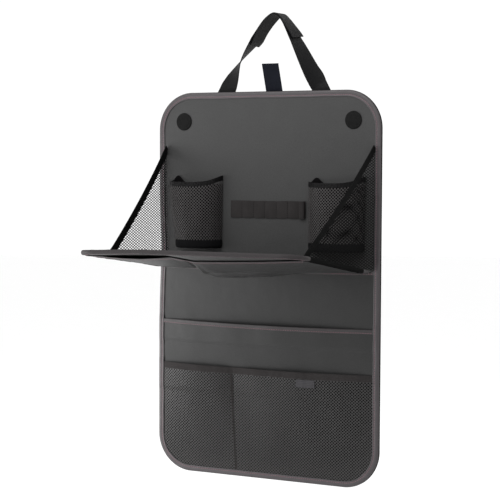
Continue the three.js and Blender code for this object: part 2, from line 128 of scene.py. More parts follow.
def unit(vectors: np.ndarray) -> np.ndarray:
    """Scales each vector to a length of one."""
    return vectors / np.maximum(np.linalg.norm(vectors, axis=-1, keepdims=True), 1e-9)


def paint(code: int) -> Colour:
    """Turns a screen colour, written 0xRRGGBB, into the linear values that shaders use."""
    parts = [(code >> shift & 255) / 255.0 for shift in (16, 8, 0)]
    return tuple(p / 12.92 if p <= 0.04045 else ((p + 0.055) / 1.055) ** 2.4 for p in parts)


# Shader maths and finishes


class Shade:
    """A socket of a material's nodes that takes part in sums."""

    def __init__(self, recipe: Recipe, socket: bpy.types.NodeSocket | None) -> None:
        """Keeps the socket and the recipe that its nodes belong to."""
        self.recipe = recipe
        self.socket = socket

    def _sum(self, operation: str, *values: Shade | float) -> Shade:
        """Adds a Math node over some values."""
        return self.recipe.node("Math", {"operation": operation}, dict(enumerate(values)))

    def __add__(self, other: Shade | float) -> Shade:
        """Adds another value."""
        return self._sum("ADD", self, other)

    __radd__ = __add__

    def __sub__(self, other: Shade | float) -> Shade:
        """Takes another value away."""
        return self._sum("SUBTRACT", self, other)

    def __rsub__(self, other: float) -> Shade:
        """Takes this away from a number."""
        return self._sum("SUBTRACT", other, self)

    def __mul__(self, other: Shade | float) -> Shade:
        """Multiplies by another value."""
        return self._sum("MULTIPLY", self, other)

    __rmul__ = __mul__

    def __truediv__(self, other: Shade | float) -> Shade:
        """Divides by another value."""
        return self._sum("DIVIDE", self, other)

    def sine(self) -> Shade:
        """The sine of this value."""
        return self._sum("SINE", self)

    def size(self) -> Shade:
        """This value without its sign."""
        return self._sum("ABSOLUTE", self)


class Recipe:
    """The nodes of one material, ending in one Principled shader."""

    def __init__(self, name: str) -> None:
        """Starts an empty material."""
        self.material = bpy.data.materials.new(name)
        self.material.use_nodes = True
        self.tree = self.material.node_tree
        self.tree.nodes.clear()

    def node(
        self,
        kind: str,
        settings: dict[str, object] | None = None,
        inputs: dict[str | int, object] | None = None,
        output: str | int = 0,
    ) -> Shade:
        """Adds one node.

        Args:
            kind: The node's type, without its ShaderNode prefix.
            settings: Its properties, and a colour ramp's stops as (place, colour) pairs.
            inputs: A value or a Shade for each socket, by name or by number.
            output: The socket that is wanted, by name or by number.

        Returns:
            The output socket.
        """
        made = self.tree.nodes.new(f"ShaderNode{kind}")
        for key, value in (settings or {}).items():
            if key == "stops":
                for element, (place, colour) in zip(made.color_ramp.elements, value):
                    element.position, element.color = place, (*colour, 1.0)
            else:
                setattr(made, key, value)
        for key, value in (inputs or {}).items():
            if isinstance(value, Shade):
                self.tree.links.new(value.socket, made.inputs[key])
            elif isinstance(value, tuple) and len(value) == 3 and made.inputs[key].type == "RGBA":
                made.inputs[key].default_value = (*value, 1.0)
            else:
                made.inputs[key].default_value = value
        return Shade(self, made.outputs[output] if made.outputs else None)

    def place(self) -> Shade:
        """The point on the piece, in metres."""
        return self.node("TexCoord", output="Object")

    def noise(self, pitch_mm: float, detail: float = 3.0, where: Shade | None = None) -> Shade:
        """Soft noise whose features are about pitch_mm wide."""
        inputs = {"Vector": where or self.place(), "Scale": 1000.0 / pitch_mm, "Detail": detail}
        return self.node("TexNoise", inputs=inputs)

    def cloth_place(self) -> tuple[Shade, Shade]:
        """The distance across and along the cloth, in millimetres."""
        uv = self.node("UVMap", {"uv_map": "Cloth"})
        return (
            self.node("SeparateXYZ", inputs={0: uv}, output=0) * 1000.0,
            self.node("SeparateXYZ", inputs={0: uv}, output=1) * 1000.0,
        )

    def mix(self, factor: Shade | float, first: Colour | Shade, second: Colour | Shade) -> Shade:
        """Mixes two colours."""
        return self.node("Mix", {"data_type": "RGBA"}, {0: factor, 6: first, 7: second}, output=2)

    def bump(self, height: Shade, depth_mm: float, under: Shade | None = None) -> Shade:
        """Turns a height from 0 to 1 into a normal, depth_mm deep."""
        inputs = {"Height": height, "Distance": depth_mm / 1000.0, "Strength": 1.0}
        if under:
            inputs["Normal"] = under
        return self.node("Bump", inputs=inputs)

    def close(self, **inputs: object) -> bpy.types.Material:
        """Ends the material in a Principled shader with these inputs.

        Args:
            inputs: Socket names, with an underscore for each space, and their values.

        Returns:
            The finished material.
        """
        named = {key.replace("_", " "): value for key, value in inputs.items()}
        shader = self.node("BsdfPrincipled", inputs=named)
        self.node("OutputMaterial", inputs={"Surface": shader})
        return self.material


@dataclass(frozen=True)
class Leather:
    """Imitation leather with a fine pebbled grain and a soft unevenness."""

    name: str
    colour: Colour
    roughness: float = 0.5
    grain_mm: float = 1.1
    grain_depth: float = 0.1
    wave_mm: float = 42.0
    wave_depth: float = 0.8
    gloss: float = 0.22

    def build(self) -> bpy.types.Material:
        """Makes the material."""
        recipe = Recipe(self.name)
        place = recipe.place()
        pebbles = recipe.node(
            "TexVoronoi",
            {"feature": "SMOOTH_F1"},
            {"Vector": place, "Scale": 1000.0 / self.grain_mm, "Smoothness": 0.4},
            output="Distance",
        )
        fine = recipe.noise(self.grain_mm * 0.4, 2.0, place)
        patches = recipe.noise(self.wave_mm, 2.0, place)
        worn = recipe.noise(self.wave_mm * 0.28, 4.0, place)
        tone = recipe.mix(
            patches * 0.7 + worn * 0.3,
            tuple(c * 0.78 for c in self.colour),
            tuple(c * 1.22 for c in self.colour),
        )
        # Painted shade: the colour darkens in the furrows between the pebbles, where the grain is
        # lowest.
        crease = recipe.mix(pebbles * 1.3, tone, tuple(c * 0.72 for c in self.colour))
        normal = recipe.bump(patches, self.wave_depth)
        normal = recipe.bump(1.0 - pebbles + fine * 0.35, self.grain_depth, normal)
        rough = self.roughness - 0.07 + worn * 0.14
        return recipe.close(
            Base_Color=crease, Roughness=rough, Normal=normal, Specular_IOR_Level=self.gloss,
        )


@dataclass(frozen=True)
class Weave:
    """Woven or knitted cloth whose yarns cross at a real pitch."""

    name: str
    colour: Colour
    across_mm: float
    along_mm: float
    depth: float
    roughness: float = 0.82
    gloss: float = 0.02
    slant: float = 0.0

    def build(self) -> bpy.types.Material:
        """Makes the material."""
        recipe = Recipe(self.name)
        across, along = recipe.cloth_place()
        wander = recipe.noise(9.0, 2.0) * 0.5
        rows = ((along + across * self.slant + wander) * (math.pi / self.along_mm)).sine().size()
        ends = ((across + wander) * (math.pi / self.across_mm)).sine().size()
        yarn = rows * 0.6 + ends * rows * 0.4
        fluff = recipe.noise(0.5, 3.0)
        patches = recipe.noise(25.0, 2.0)
        # Painted shade: the colour falls to half in the gaps between the yarns and is full on their
        # crowns.
        gap_shade = recipe.mix(yarn * 0.8 + fluff * 0.2, tuple(c * 0.5 for c in self.colour), self.colour)
        tone = recipe.mix(patches, gap_shade, tuple(c * 1.25 for c in self.colour))
        normal = recipe.bump(yarn + fluff * 0.25, self.depth)
        return recipe.close(
            Base_Color=tone, Roughness=self.roughness - 0.05 + fluff * 0.1, Normal=normal,
            Specular_IOR_Level=self.gloss,
        )


@dataclass(frozen=True)
class Yarn:
    """Fibrous thread, pile or knitted cord, with its pattern fixed in the piece."""

    name: str
    colour: Colour
    fibre_mm: float = 0.5
    depth: float = 0.2
    roughness: float = 0.85
    gloss: float = 0.02
    contrast: float = 0.45

    def build(self) -> bpy.types.Material:
        """Makes the material."""
        recipe = Recipe(self.name)
        fibre = recipe.noise(self.fibre_mm, 3.0)
        patches = recipe.noise(14.0, 2.0)
        dark = tuple(c * (1.0 - self.contrast) for c in self.colour)
        light = tuple(c * (1.0 + self.contrast) for c in self.colour)
        tone = recipe.mix(fibre * 0.7 + patches * 0.3, dark, light)
        normal = recipe.bump(fibre, self.depth)
        return recipe.close(
            Base_Color=tone, Roughness=self.roughness - 0.05 + patches * 0.1, Normal=normal,
            Specular_IOR_Level=self.gloss,
        )


class Finish(Enum):
    """The finishes of the organiser, each with the name of the material slot that it belongs to."""

    LEATHER = ("leather", Leather("grey_leather", paint(0x363636)))
    FACING = ("leather", Leather("facing_leather", paint(0x292929)))
    BINDING = ("binding", Leather("taupe_binding", paint(0x3E3A3C), roughness=0.45, gloss=0.36))
    HEM = ("leather", Leather("hem_leather", paint(0x3B3839)))
    THREAD = ("binding", Yarn("mauve_thread", paint(0x775A61)))
    DARK_THREAD = ("webbing", Yarn("dark_thread", paint(0x181818)))
    # Partly painted shade: darker than the panel's binding to stand in for the tray edge's shaded
    # side, and near the grey leather's own colour.
    TRAY_EDGE = ("binding", Leather("tray_edge_leather", paint(0x353233), roughness=0.6, gloss=0.1))
    BACKING = ("backing", Weave("backing_cloth", paint(0x121213), 0.9, 0.9, 0.12))
    # Painted shade: black cloth on the panel binding's outer side and back half, and along the
    # tray's side edges, where those edges fall in shade.
    BACK_TAPE = ("backing", Weave("painted_shade_tape", paint(0x070707), 1.8, 0.9, 0.2))
    BOARD = ("board", Yarn("grey_board", paint(0x2C2C2C)))
    MESH = ("mesh", Yarn("mesh_yarn", paint(0x111111)))
    CUP_MESH = ("mesh", Yarn("cup_mesh_yarn", paint(0x393737), roughness=0.5, gloss=0.25))
    POCKET_MESH = ("mesh", Yarn("pocket_mesh_yarn", paint(0x292828), roughness=0.45, gloss=0.36))
    # Painted shade: a black sheet at the back of each cup stands in for the shade inside the cup.
    LINING = ("backing", Yarn("painted_cup_shade", paint(0x0C0B0C)))
    # Painted shade: a dark sheet behind the lower pocket's mesh darkens what shows through its
    # holes, as shade inside the pocket.
    POCKET_LINING = ("backing", Yarn("pocket_shade_sheet", paint(0x1E1D1D)))
    ELASTIC = ("elastic", Weave("elastic_tape", paint(0x111111), 2.4, 0.9, 0.25))
    CUP_ELASTIC = ("elastic", Weave("cup_elastic_tape", paint(0x0A090A), 2.4, 0.9, 0.25, 0.4, 0.1))
    POCKET_ELASTIC = ("elastic", Weave("pocket_elastic", paint(0x2E2C2C), 2.4, 1.1, 0.25))
    WEBBING = ("webbing", Weave("strap_webbing", paint(0x0D0D0E), 1.9, 1.5, 0.35, 0.5, 0.1, 0.6))
    TAB_WEBBING = ("webbing", Weave("tab_webbing", paint(0x0F1118), 1.9, 1.5, 0.35, 0.6, 0.06, 0.6))
    PILE = ("fastener", Yarn("fastener_pile", paint(0x191919), 1.5, 0.5, 0.95, 0.02, 0.9))
    TAB = ("tab_cloth", Weave("small_tab_cloth", paint(0x3E3D3F), 2.6, 2.6, 0.3))

    def material(self) -> bpy.types.Material:
        """The finish's material, made when it is first asked for."""
        recipe = self.value[1]
        return bpy.data.materials.get(recipe.name) or recipe.build()

    @property
    def slot(self) -> str:
        """The name of its material slot."""
        return self.value[0]


# The bench: every piece is made and placed with these


class Body(Enum):
    """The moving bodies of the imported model."""

    PANEL = "panel"
    TRAY = "tray"


class Held(Enum):
    """How a sheet of cloth is held."""

    HUNG = "hung"
    GATHERED = "gathered"
    STRETCHED = "stretched"


class Bench:
    """Makes meshes in the panel's millimetres and hands them over in the model's metres."""

    DRAWN_IN = 3.4
    DRAWN_IN_Z = 385.0
    DRAWN_IN_SPREAD = 70.0

    def __init__(self) -> None:
        """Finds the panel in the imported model."""
        low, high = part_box("edge_binding")
        face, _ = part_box("front_cover")
        self.zero = np.array([(low.x + high.x) / 2, face.y, low.z])

    def place(self, points: np.ndarray) -> np.ndarray:
        """Turns panel millimetres into model metres, the left edge drawn in beside the tray."""
        points = np.array(points, float)
        x, y, z = (points[..., k] for k in range(3))
        near = smooth(-x, 120.0, 205.0) * smooth(y, -45.0, -4.0)
        level = np.exp(-np.square((z - self.DRAWN_IN_Z) / self.DRAWN_IN_SPREAD))
        points[..., 0] = x + self.DRAWN_IN * level * near
        return points / 1000.0 + self.zero

    @staticmethod
    def take(piece: bpy.types.Object) -> None:
        """Makes one object the only selected and active one."""
        bpy.ops.object.select_all(action="DESELECT")
        piece.select_set(True)
        bpy.context.view_layer.objects.active = piece

    @staticmethod
    def _points(piece: bpy.types.Object) -> np.ndarray:
        """The places of a mesh's vertices."""
        flat = np.empty(len(piece.data.vertices) * 3)
        piece.data.vertices.foreach_get("co", flat)
        return flat.reshape(-1, 3)

    @staticmethod
    def _move(piece: bpy.types.Object, points: np.ndarray) -> None:
        """Moves a mesh's vertices."""
        piece.data.vertices.foreach_set("co", np.asarray(points, np.float32).ravel())
        piece.data.update()

    def modify(self, piece: bpy.types.Object, kind: str, **settings: object) -> None:
        """Adds a modifier to a piece and applies it.

        Args:
            piece: The object.
            kind: The modifier's type.
            settings: Its properties.
        """
        self.take(piece)
        modifier = piece.modifiers.new(kind.lower(), kind)
        for key, value in settings.items():
            setattr(modifier, key, value)
        bpy.ops.object.modifier_apply(modifier=modifier.name)

    def _thicken(self, piece: bpy.types.Object, thickness: float, offset: float) -> None:
        """Gives a sheet its thickness, in millimetres, on the side away from its face."""
        if thickness:
            self.modify(
                piece, "SOLIDIFY", thickness=thickness / 1000.0, offset=offset,
                use_even_offset=False, use_rim=True,
            )

    def soften(self, piece: bpy.types.Object, width: float) -> None:
        """Rounds the edges of webbing or tape, width millimetres wide."""
        self.modify(piece, "BEVEL", width=width / 1000.0, segments=2, limit_method="ANGLE")

    def sheet(
        self,
        name: str,
        cells: tuple[int, int],
        size: tuple[float, float],
        where: Mapping,
        thickness: float = 0.8,
        offset: float = -1.0,
        weld: bool = False,
    ) -> bpy.types.Object:
        """Cuts a sheet of cloth and lays it on a surface.

        Args:
            name: The piece's name.
            cells: How many cells it has across and along.
            size: Its flat width and length in millimetres, for its weave.
            where: Gives the panel place of the shares across and along the sheet.
            thickness: Of the cloth, in millimetres.
            offset: -1 where the surface is the cloth's face, and 0 where it is its middle.
            weld: Joins edges that meet, as where a sheet is wrapped round.

        Returns:
            The sheet.
        """
        bpy.ops.object.select_all(action="DESELECT")
        bpy.ops.mesh.primitive_grid_add(x_subdivisions=cells[0], y_subdivisions=cells[1], size=1.0)
        piece = bpy.context.active_object
        piece.name = piece.data.name = name
        grid = self._points(piece) + 0.5
        layer = piece.data.uv_layers[0]
        layer.name = "Cloth"
        corners = np.empty(len(piece.data.loops), int)
        piece.data.loops.foreach_get("vertex_index", corners)
        uv = grid[corners, :2] * np.array(size) / 1000.0
        layer.data.foreach_set("uv", uv.astype(np.float32).ravel())
        self._move(piece, self.place(where(grid[:, 0], grid[:, 1])))
        if weld:
            self.edit(piece, lambda: bpy.ops.mesh.remove_doubles(threshold=2e-5))
        self._thicken(piece, thickness, offset)
        return piece

    def edit(self, piece: bpy.types.Object, work: Callable[[], object]) -> None:
        """Runs one piece of work in edit mode on all of a mesh.

        Args:
            piece: The object.
            work: Calls the operators.
        """
        self.take(piece)
        bpy.ops.object.mode_set(mode="EDIT")
        bpy.ops.mesh.select_all(action="SELECT")
        work()
        bpy.ops.object.mode_set(mode="OBJECT")

    def net(
        self,
        name: str,
        size: tuple[float, float],
        cell: tuple[float, float],
        thread: tuple[float, float],
        inside: Callable[[np.ndarray, np.ndarray], np.ndarray],
        where: Mapping,
    ) -> bpy.types.Object:
        """Knits an open mesh of diamond cells and lays it on a surface.

        Args:
            name: The piece's name.
            size: Flat width and height in millimetres.
            cell: A cell's full width and height.
            thread: The threads' width and thickness.
            inside: Tells which cells, by the flat place of their middle, are kept.
            where: Gives the panel place of each flat place, in millimetres.

        Returns:
            The net.
        """
        columns, rows = (max(2, round(size[k] / cell[k])) for k in (0, 1))
        bpy.ops.object.select_all(action="DESELECT")
        bpy.ops.mesh.primitive_grid_add(x_subdivisions=columns, y_subdivisions=rows, size=1.0)
        piece = bpy.context.active_object
        piece.name = piece.data.name = name
        self._move(piece, (self._points(piece) + 0.5) * np.array([size[0], size[1], 0.0]))
        self.edit(piece, self._split_to_diamonds)
        mesh = piece.data
        middles = np.array([polygon.center[:] for polygon in mesh.polygons])
        kept = inside(middles[:, 0], middles[:, 1])
        for polygon, keep in zip(mesh.polygons, kept):
            polygon.select = not keep
        self.take(piece)
        bpy.ops.object.mode_set(mode="EDIT")
        bpy.ops.mesh.delete(type="FACE")
        bpy.ops.mesh.select_all(action="SELECT")
        bpy.ops.mesh.inset(thickness=thread[0] / 2, use_individual=True, use_boundary=True)
        bpy.ops.mesh.delete(type="FACE")
        bpy.ops.object.mode_set(mode="OBJECT")
        flat = self._points(piece)
        self._move(piece, self.place(where(flat[:, 0], flat[:, 1])))
        self._thicken(piece, thread[1], 0.0)
        return piece

    @staticmethod
    def _split_to_diamonds() -> None:
        """Turns a grid of squares into diamonds that stand on the squares' sides."""
        mesh = bpy.context.active_object.data
        bpy.ops.mesh.poke()
        bpy.ops.object.mode_set(mode="OBJECT")
        for polygon in mesh.polygons:
            polygon.select = False
        for vertex in mesh.vertices:
            vertex.select = False
        for edge in mesh.edges:
            a, b = (mesh.vertices[k].co for k in edge.vertices)
            edge.select = min(abs(a.x - b.x), abs(a.y - b.y)) < 1e-4
        bpy.ops.object.mode_set(mode="EDIT")
        bpy.ops.mesh.select_mode(type="EDGE")
        bpy.ops.mesh.dissolve_edges(use_verts=False)
        bpy.ops.mesh.select_mode(type="FACE")

    def copies(
        self,
        name: str,
        model: bpy.types.Object,
        middles: np.ndarray,
        along: np.ndarray,
        outward: np.ndarray,
    ) -> bpy.types.Object:
        """Copies one small model to many places as one mesh, and removes the model.

        Args:
            name: The piece's name.
            model: Modelled round its origin in metres, x along and z outward.
            middles: Panel places of the copies.
            along: The direction in which each copy runs.
            outward: The direction in which each copy stands off its surface.

        Returns:
            The copies.
        """
        x_axis = unit(along)
        y_axis = unit(np.cross(outward, x_axis))
        z_axis = np.cross(x_axis, y_axis)
        turns = np.stack([x_axis, y_axis, z_axis], axis=-1)
        shape = self._points(model)
        points = np.einsum("nij,kj->nki", turns, shape) + self.place(middles)[:, None, :]
        faces = [tuple(polygon.vertices) for polygon in model.data.polygons]
        count = len(shape)
        shifted = [
            tuple(k * count + vertex for vertex in face)
            for k in range(len(middles))
            for face in faces
        ]
        mesh = bpy.data.meshes.new(name)
        mesh.from_pydata(points.reshape(-1, 3).tolist(), [], shifted)
        piece = bpy.data.objects.new(name, mesh)
        bpy.context.scene.collection.objects.link(piece)
        bpy.data.objects.remove(model)
        return piece

    def stitch(self, length: float, width: float, height: float) -> bpy.types.Object:
        """Models one stitch of thread, its ends sunk into the cloth.

        Args:
            length: From end to end, in millimetres.
            width: Of the thread.
            height: Of the thread.

        Returns:
            The stitch, round its origin.
        """
        bpy.ops.object.select_all(action="DESELECT")
        bpy.ops.mesh.primitive_uv_sphere_add(segments=8, ring_count=6, radius=0.5)
        piece = bpy.context.active_object
        ball = self._points(piece)
        turned = stack(ball[:, 2], ball[:, 1], ball[:, 0])
        run = np.sign(turned[:, 0]) * np.abs(turned[:, 0] * 2) ** 0.6 / 2
        sunk = -0.35 * height * (np.abs(run) * 2) ** 3
        bent = stack(run * length, turned[:, 1] * width, turned[:, 2] * height + sunk)
        self._move(piece, bent / 1000.0)
        self.edit(piece, lambda: bpy.ops.mesh.normals_make_consistent(inside=False))
        return piece

    def hand_over(
        self,
        piece: bpy.types.Object,
        body: Body,
        finish: Finish,
        replaces: Sequence[str] = (),
        smooth_deg: float = 40.0,
    ) -> bpy.types.Object:
        """Gives a finished mesh its material and its body.

        Args:
            piece: The object, with its place in its mesh.
            body: The body that it rides on.
            finish: Its finish.
            replaces: The CAD nodes that it stands for.
            smooth_deg: Edges that bend less than this are smooth.

        Returns:
            The piece.
        """
        piece.data.materials.clear()
        piece.data.materials.append(finish.material())
        self.take(piece)
        bpy.ops.object.shade_smooth_by_angle(angle=math.radians(smooth_deg))
        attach(piece, body.value)
        finish.slot
        if replaces:
            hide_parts(*replaces)
        LOG.info("%s: %d faces on %s", piece.name, len(piece.data.polygons), body.value)
        return piece


def cloth(
    piece: bpy.types.Object,
    flat: tuple[float, float],
    held: Held,
    share: float | None = None,
) -> None:
    """Works out a sheet's flat size in metres and its cloth area, and uses neither.

    Args:
        piece: Not used.
        flat: Its width and length before it was sewn in.
        held: Not used.
        share: The part of that rectangle that is cloth, where it isn't all of it.
    """
    metres = (flat[0] / 1000.0, flat[1] / 1000.0)
    area = None if share is None else share * metres[0] * metres[1]


# Outlines and folded edges


@dataclass(frozen=True)
class Leg:
    """One straight or curved leg of an outline."""

    start: tuple[float, float]
    heading: float
    length: float
    radius: float = 0.0

    def at(self, s: np.ndarray) -> tuple[np.ndarray, np.ndarray]:
        """Points and outward directions at distances along the leg."""
        if not self.radius:
            forward = np.array([math.cos(self.heading), math.sin(self.heading)])
            outward = np.array([forward[1], -forward[0]])
            return np.array(self.start) + s[:, None] * forward, np.tile(outward, (len(s), 1))
        begin = self.heading - math.pi / 2
        centre = np.array(self.start) - self.radius * np.array([math.cos(begin), math.sin(begin)])
        angle = begin + s / self.radius
        outward = stack(np.cos(angle), np.sin(angle))
        return centre + self.radius * outward, outward


@dataclass(frozen=True)
class Outline:
    """The edge of a rounded rectangle, walked by its length, with its front to the left."""

    half: float
    foot: float
    head: float
    lower: float
    upper: float = 0.0
    closed: bool = True

    def legs(self) -> list[Leg]:
        """The legs in order, from the middle of the foot, or from the open left end."""
        turn, quarter = math.pi / 2, math.pi / 2
        side = self.head - self.foot - self.lower - self.upper
        lower_arc, upper_arc = self.lower * quarter, self.upper * quarter
        if not self.closed:
            return [
                Leg((-self.half, self.head), -turn, side),
                Leg((-self.half, self.foot + self.lower), -turn, lower_arc, self.lower),
                Leg((-self.half + self.lower, self.foot), 0.0, 2 * (self.half - self.lower)),
                Leg((self.half - self.lower, self.foot), 0.0, lower_arc, self.lower),
                Leg((self.half, self.foot + self.lower), turn, side),
            ]
        return [
            Leg((0.0, self.foot), 0.0, self.half - self.lower),
            Leg((self.half - self.lower, self.foot), 0.0, lower_arc, self.lower),
            Leg((self.half, self.foot + self.lower), turn, side),
            Leg((self.half, self.head - self.upper), turn, upper_arc, self.upper),
            Leg((self.half - self.upper, self.head), 2 * turn, 2 * (self.half - self.upper)),
            Leg((-self.half + self.upper, self.head), 2 * turn, upper_arc, self.upper),
            Leg((-self.half, self.head - self.upper), 3 * turn, side),
            Leg((-self.half, self.foot + self.lower), 3 * turn, lower_arc, self.lower),
            Leg((-self.half + self.lower, self.foot), 0.0, self.half - self.lower),
        ]

    @property
    def length(self) -> float:
        """The whole length of the edge."""
        return sum(leg.length for leg in self.legs())

    def at(self, s: np.ndarray) -> tuple[np.ndarray, np.ndarray]:
        """Points and outward directions at distances along the edge."""
        points, outward, start = np.zeros((len(s), 2)), np.zeros((len(s), 2)), 0.0
        for leg in self.legs():
            here = (s >= start - 1e-6) & (s <= start + leg.length + 1e-6)
            points[here], outward[here] = leg.at(s[here] - start)
            start += leg.length
        return points, outward

    def rounded(self, x: np.ndarray, z: np.ndarray) -> tuple[np.ndarray, np.ndarray]:
        """Moves points of the square-cornered rectangle into the rounded one."""
        x, z = np.array(x, float), np.array(z, float)
        for low_side, radius in ((True, self.lower), (False, self.upper)):
            if not radius:
                continue
            a = (np.abs(x) - (self.half - radius)) / radius
            below, above = (self.foot + radius) - z, z - (self.head - radius)
            b = (below if low_side else above) / radius
            corner = (a > 0) & (b > 0)
            round_a, round_b = a * np.sqrt(1 - b * b / 2), b * np.sqrt(1 - a * a / 2)
            new_x = np.sign(x) * (self.half - radius + radius * round_a)
            depth = radius * round_b
            new_z = self.foot + radius - depth if low_side else self.head - radius + depth
            x, z = np.where(corner, new_x, x), np.where(corner, new_z, z)
        return x, z


@dataclass(frozen=True)
class EdgeTape:
    """A tape folded over an edge and sewn through, seen as a section from back to front.

    The front and back are depths behind the front face of the board that it wraps.
    """

    outline: Outline
    front: float
    back: float
    lap: float = 11.0
    roll: float = 3.4
    seam: float = 8.0
    section_cells: int = 30

    LAPS = (0.07, 0.93)
    FOLD = (0.36, 0.64)
    BRINK = 0.5
    LIP = 0.75

    def _section(self, v: np.ndarray) -> tuple[np.ndarray, np.ndarray]:
        """The tape's section.

        Args:
            v: Shares of the tape's width, from its back lip to its front one.

        Returns:
            How far in from the edge, and how deep, the tape's face is.
        """
        stops = [0.0, 0.03, self.LAPS[0], *self.FOLD, self.LAPS[1], 0.97, 1.0]
        lap, brink, roll = self.lap, self.lap - self.BRINK, self.roll
        inset = np.interp(v, stops, [lap, lap, brink, roll, roll, brink, lap, lap])
        depth = np.interp(v, stops, [
            self.back - self.LIP, self.back - 0.2, self.back, self.back,
            self.front, self.front, self.front + 0.2, self.front + self.LIP,
        ])
        angle = (v - self.FOLD[0]) / (self.FOLD[1] - self.FOLD[0]) * math.pi
        over = (v > self.FOLD[0]) & (v < self.FOLD[1])
        middle, half = (self.front + self.back) / 2, (self.back - self.front) / 2
        rolled = self.roll * (1 - np.abs(np.sin(angle)) ** 0.8)
        return np.where(over, rolled, inset), np.where(over, middle + half * np.cos(angle), depth)

    def face(
        self,
        s: np.ndarray,
        v: np.ndarray,
        lift: Callable[[np.ndarray], np.ndarray] | None = None,
    ) -> tuple[np.ndarray, np.ndarray, np.ndarray]:
        """The tape's face.

        Args:
            s: Distances along the outline.
            v: Shares of the tape's width, from its back lip to its front one.
            lift: How far the front lap is raised at each height, over what is sewn under it.

        Returns:
            The two coordinates in the outline's plane, and the depth.
        """
        inset, depth = self._section(v)
        points, outward = self.outline.at(s)
        furrow = 0.38 * np.exp(-np.square((inset - self.seam) / 0.9))
        pucker = ripple(s, inset * 0.4, 13.0, 1.7) * 0.16 + ripple(s, inset * 0.2, 47.0, 0.6) * 0.22
        sign = np.where(v > 0.5, 1.0, -1.0)
        flat = smooth(inset, 0.5, self.roll)
        puckered = 0.4 + 0.6 * smooth(np.abs(inset - self.seam), 0, 2)
        depth = depth + sign * flat * (furrow + pucker * puckered)
        if lift is not None:
            depth = depth - lift(points[:, 1]) * smooth(v, 0.5, 0.68)
        edge = ripple(s, s * 0.0, 61.0, 2.9) * 0.35
        inset = inset + edge * smooth(inset, 0.0, self.lap)
        return points[:, 0] - outward[:, 0] * inset, points[:, 1] - outward[:, 1] * inset, depth

    def seam_places(
        self,
        pitch: float,
        front: bool,
        lift: Callable[[np.ndarray], np.ndarray] | None = None,
        bare: float = 0.0,
    ) -> tuple[np.ndarray, np.ndarray]:
        """Where the stitches lie.

        Args:
            pitch: From one stitch to the next.
            front: Takes the front lap, and not the back one.
            lift: As in face.
            bare: How much of the outline has no stitches, at each end.

        Returns:
            The stitches' middles, and a place a little further along each one, as plane and depth
            coordinates.
        """
        brink = self.lap - self.BRINK
        share = (brink - self.seam) / (brink - self.roll)
        side = 1 if front else 0
        v = self.LAPS[side] + share * (self.FOLD[side] - self.LAPS[side])
        sewn = self.outline.length - 2 * bare
        count = int(sewn / pitch)
        s = bare + (np.arange(count) + 0.5) * sewn / count
        middles = stack(*self.face(s, np.full(count, v), lift))
        further = np.minimum(s + 0.5, self.outline.length)
        ahead = stack(*self.face(further, np.full(count, v), lift))
        return middles, ahead


# Sub-assemblies


@dataclass
class SubAssembly:
    """What every sub-assembly shares."""

    bench: Bench

    def build(self) -> None:
        """Makes the pieces."""
        raise NotImplementedError

    def seam(
        self,
        name: str,
        body: Body,
        finish: Finish,
        middles: np.ndarray,
        ahead: np.ndarray,
        outward: np.ndarray | Sequence[float],
        size: tuple[float, float, float] = (2.8, 0.9, 0.75),
    ) -> bpy.types.Object:
        """Sews a run of stitches.

        Args:
            name: The piece's name.
            body: The body that the stitches ride on.
            finish: The thread.
            middles: Panel places of the stitches' middles.
            ahead: A place a little further along each one.
            outward: The direction off the cloth.
            size: A stitch's length, width and height.

        Returns:
            The stitches.
        """
        outward = np.broadcast_to(np.asarray(outward, float), middles.shape)
        stitch = self.bench.stitch(*size)
        raised = middles + outward * 0.12
        piece = self.bench.copies(name, stitch, raised, ahead - middles, outward)
        return self.bench.hand_over(piece, body, finish, smooth_deg=80.0)


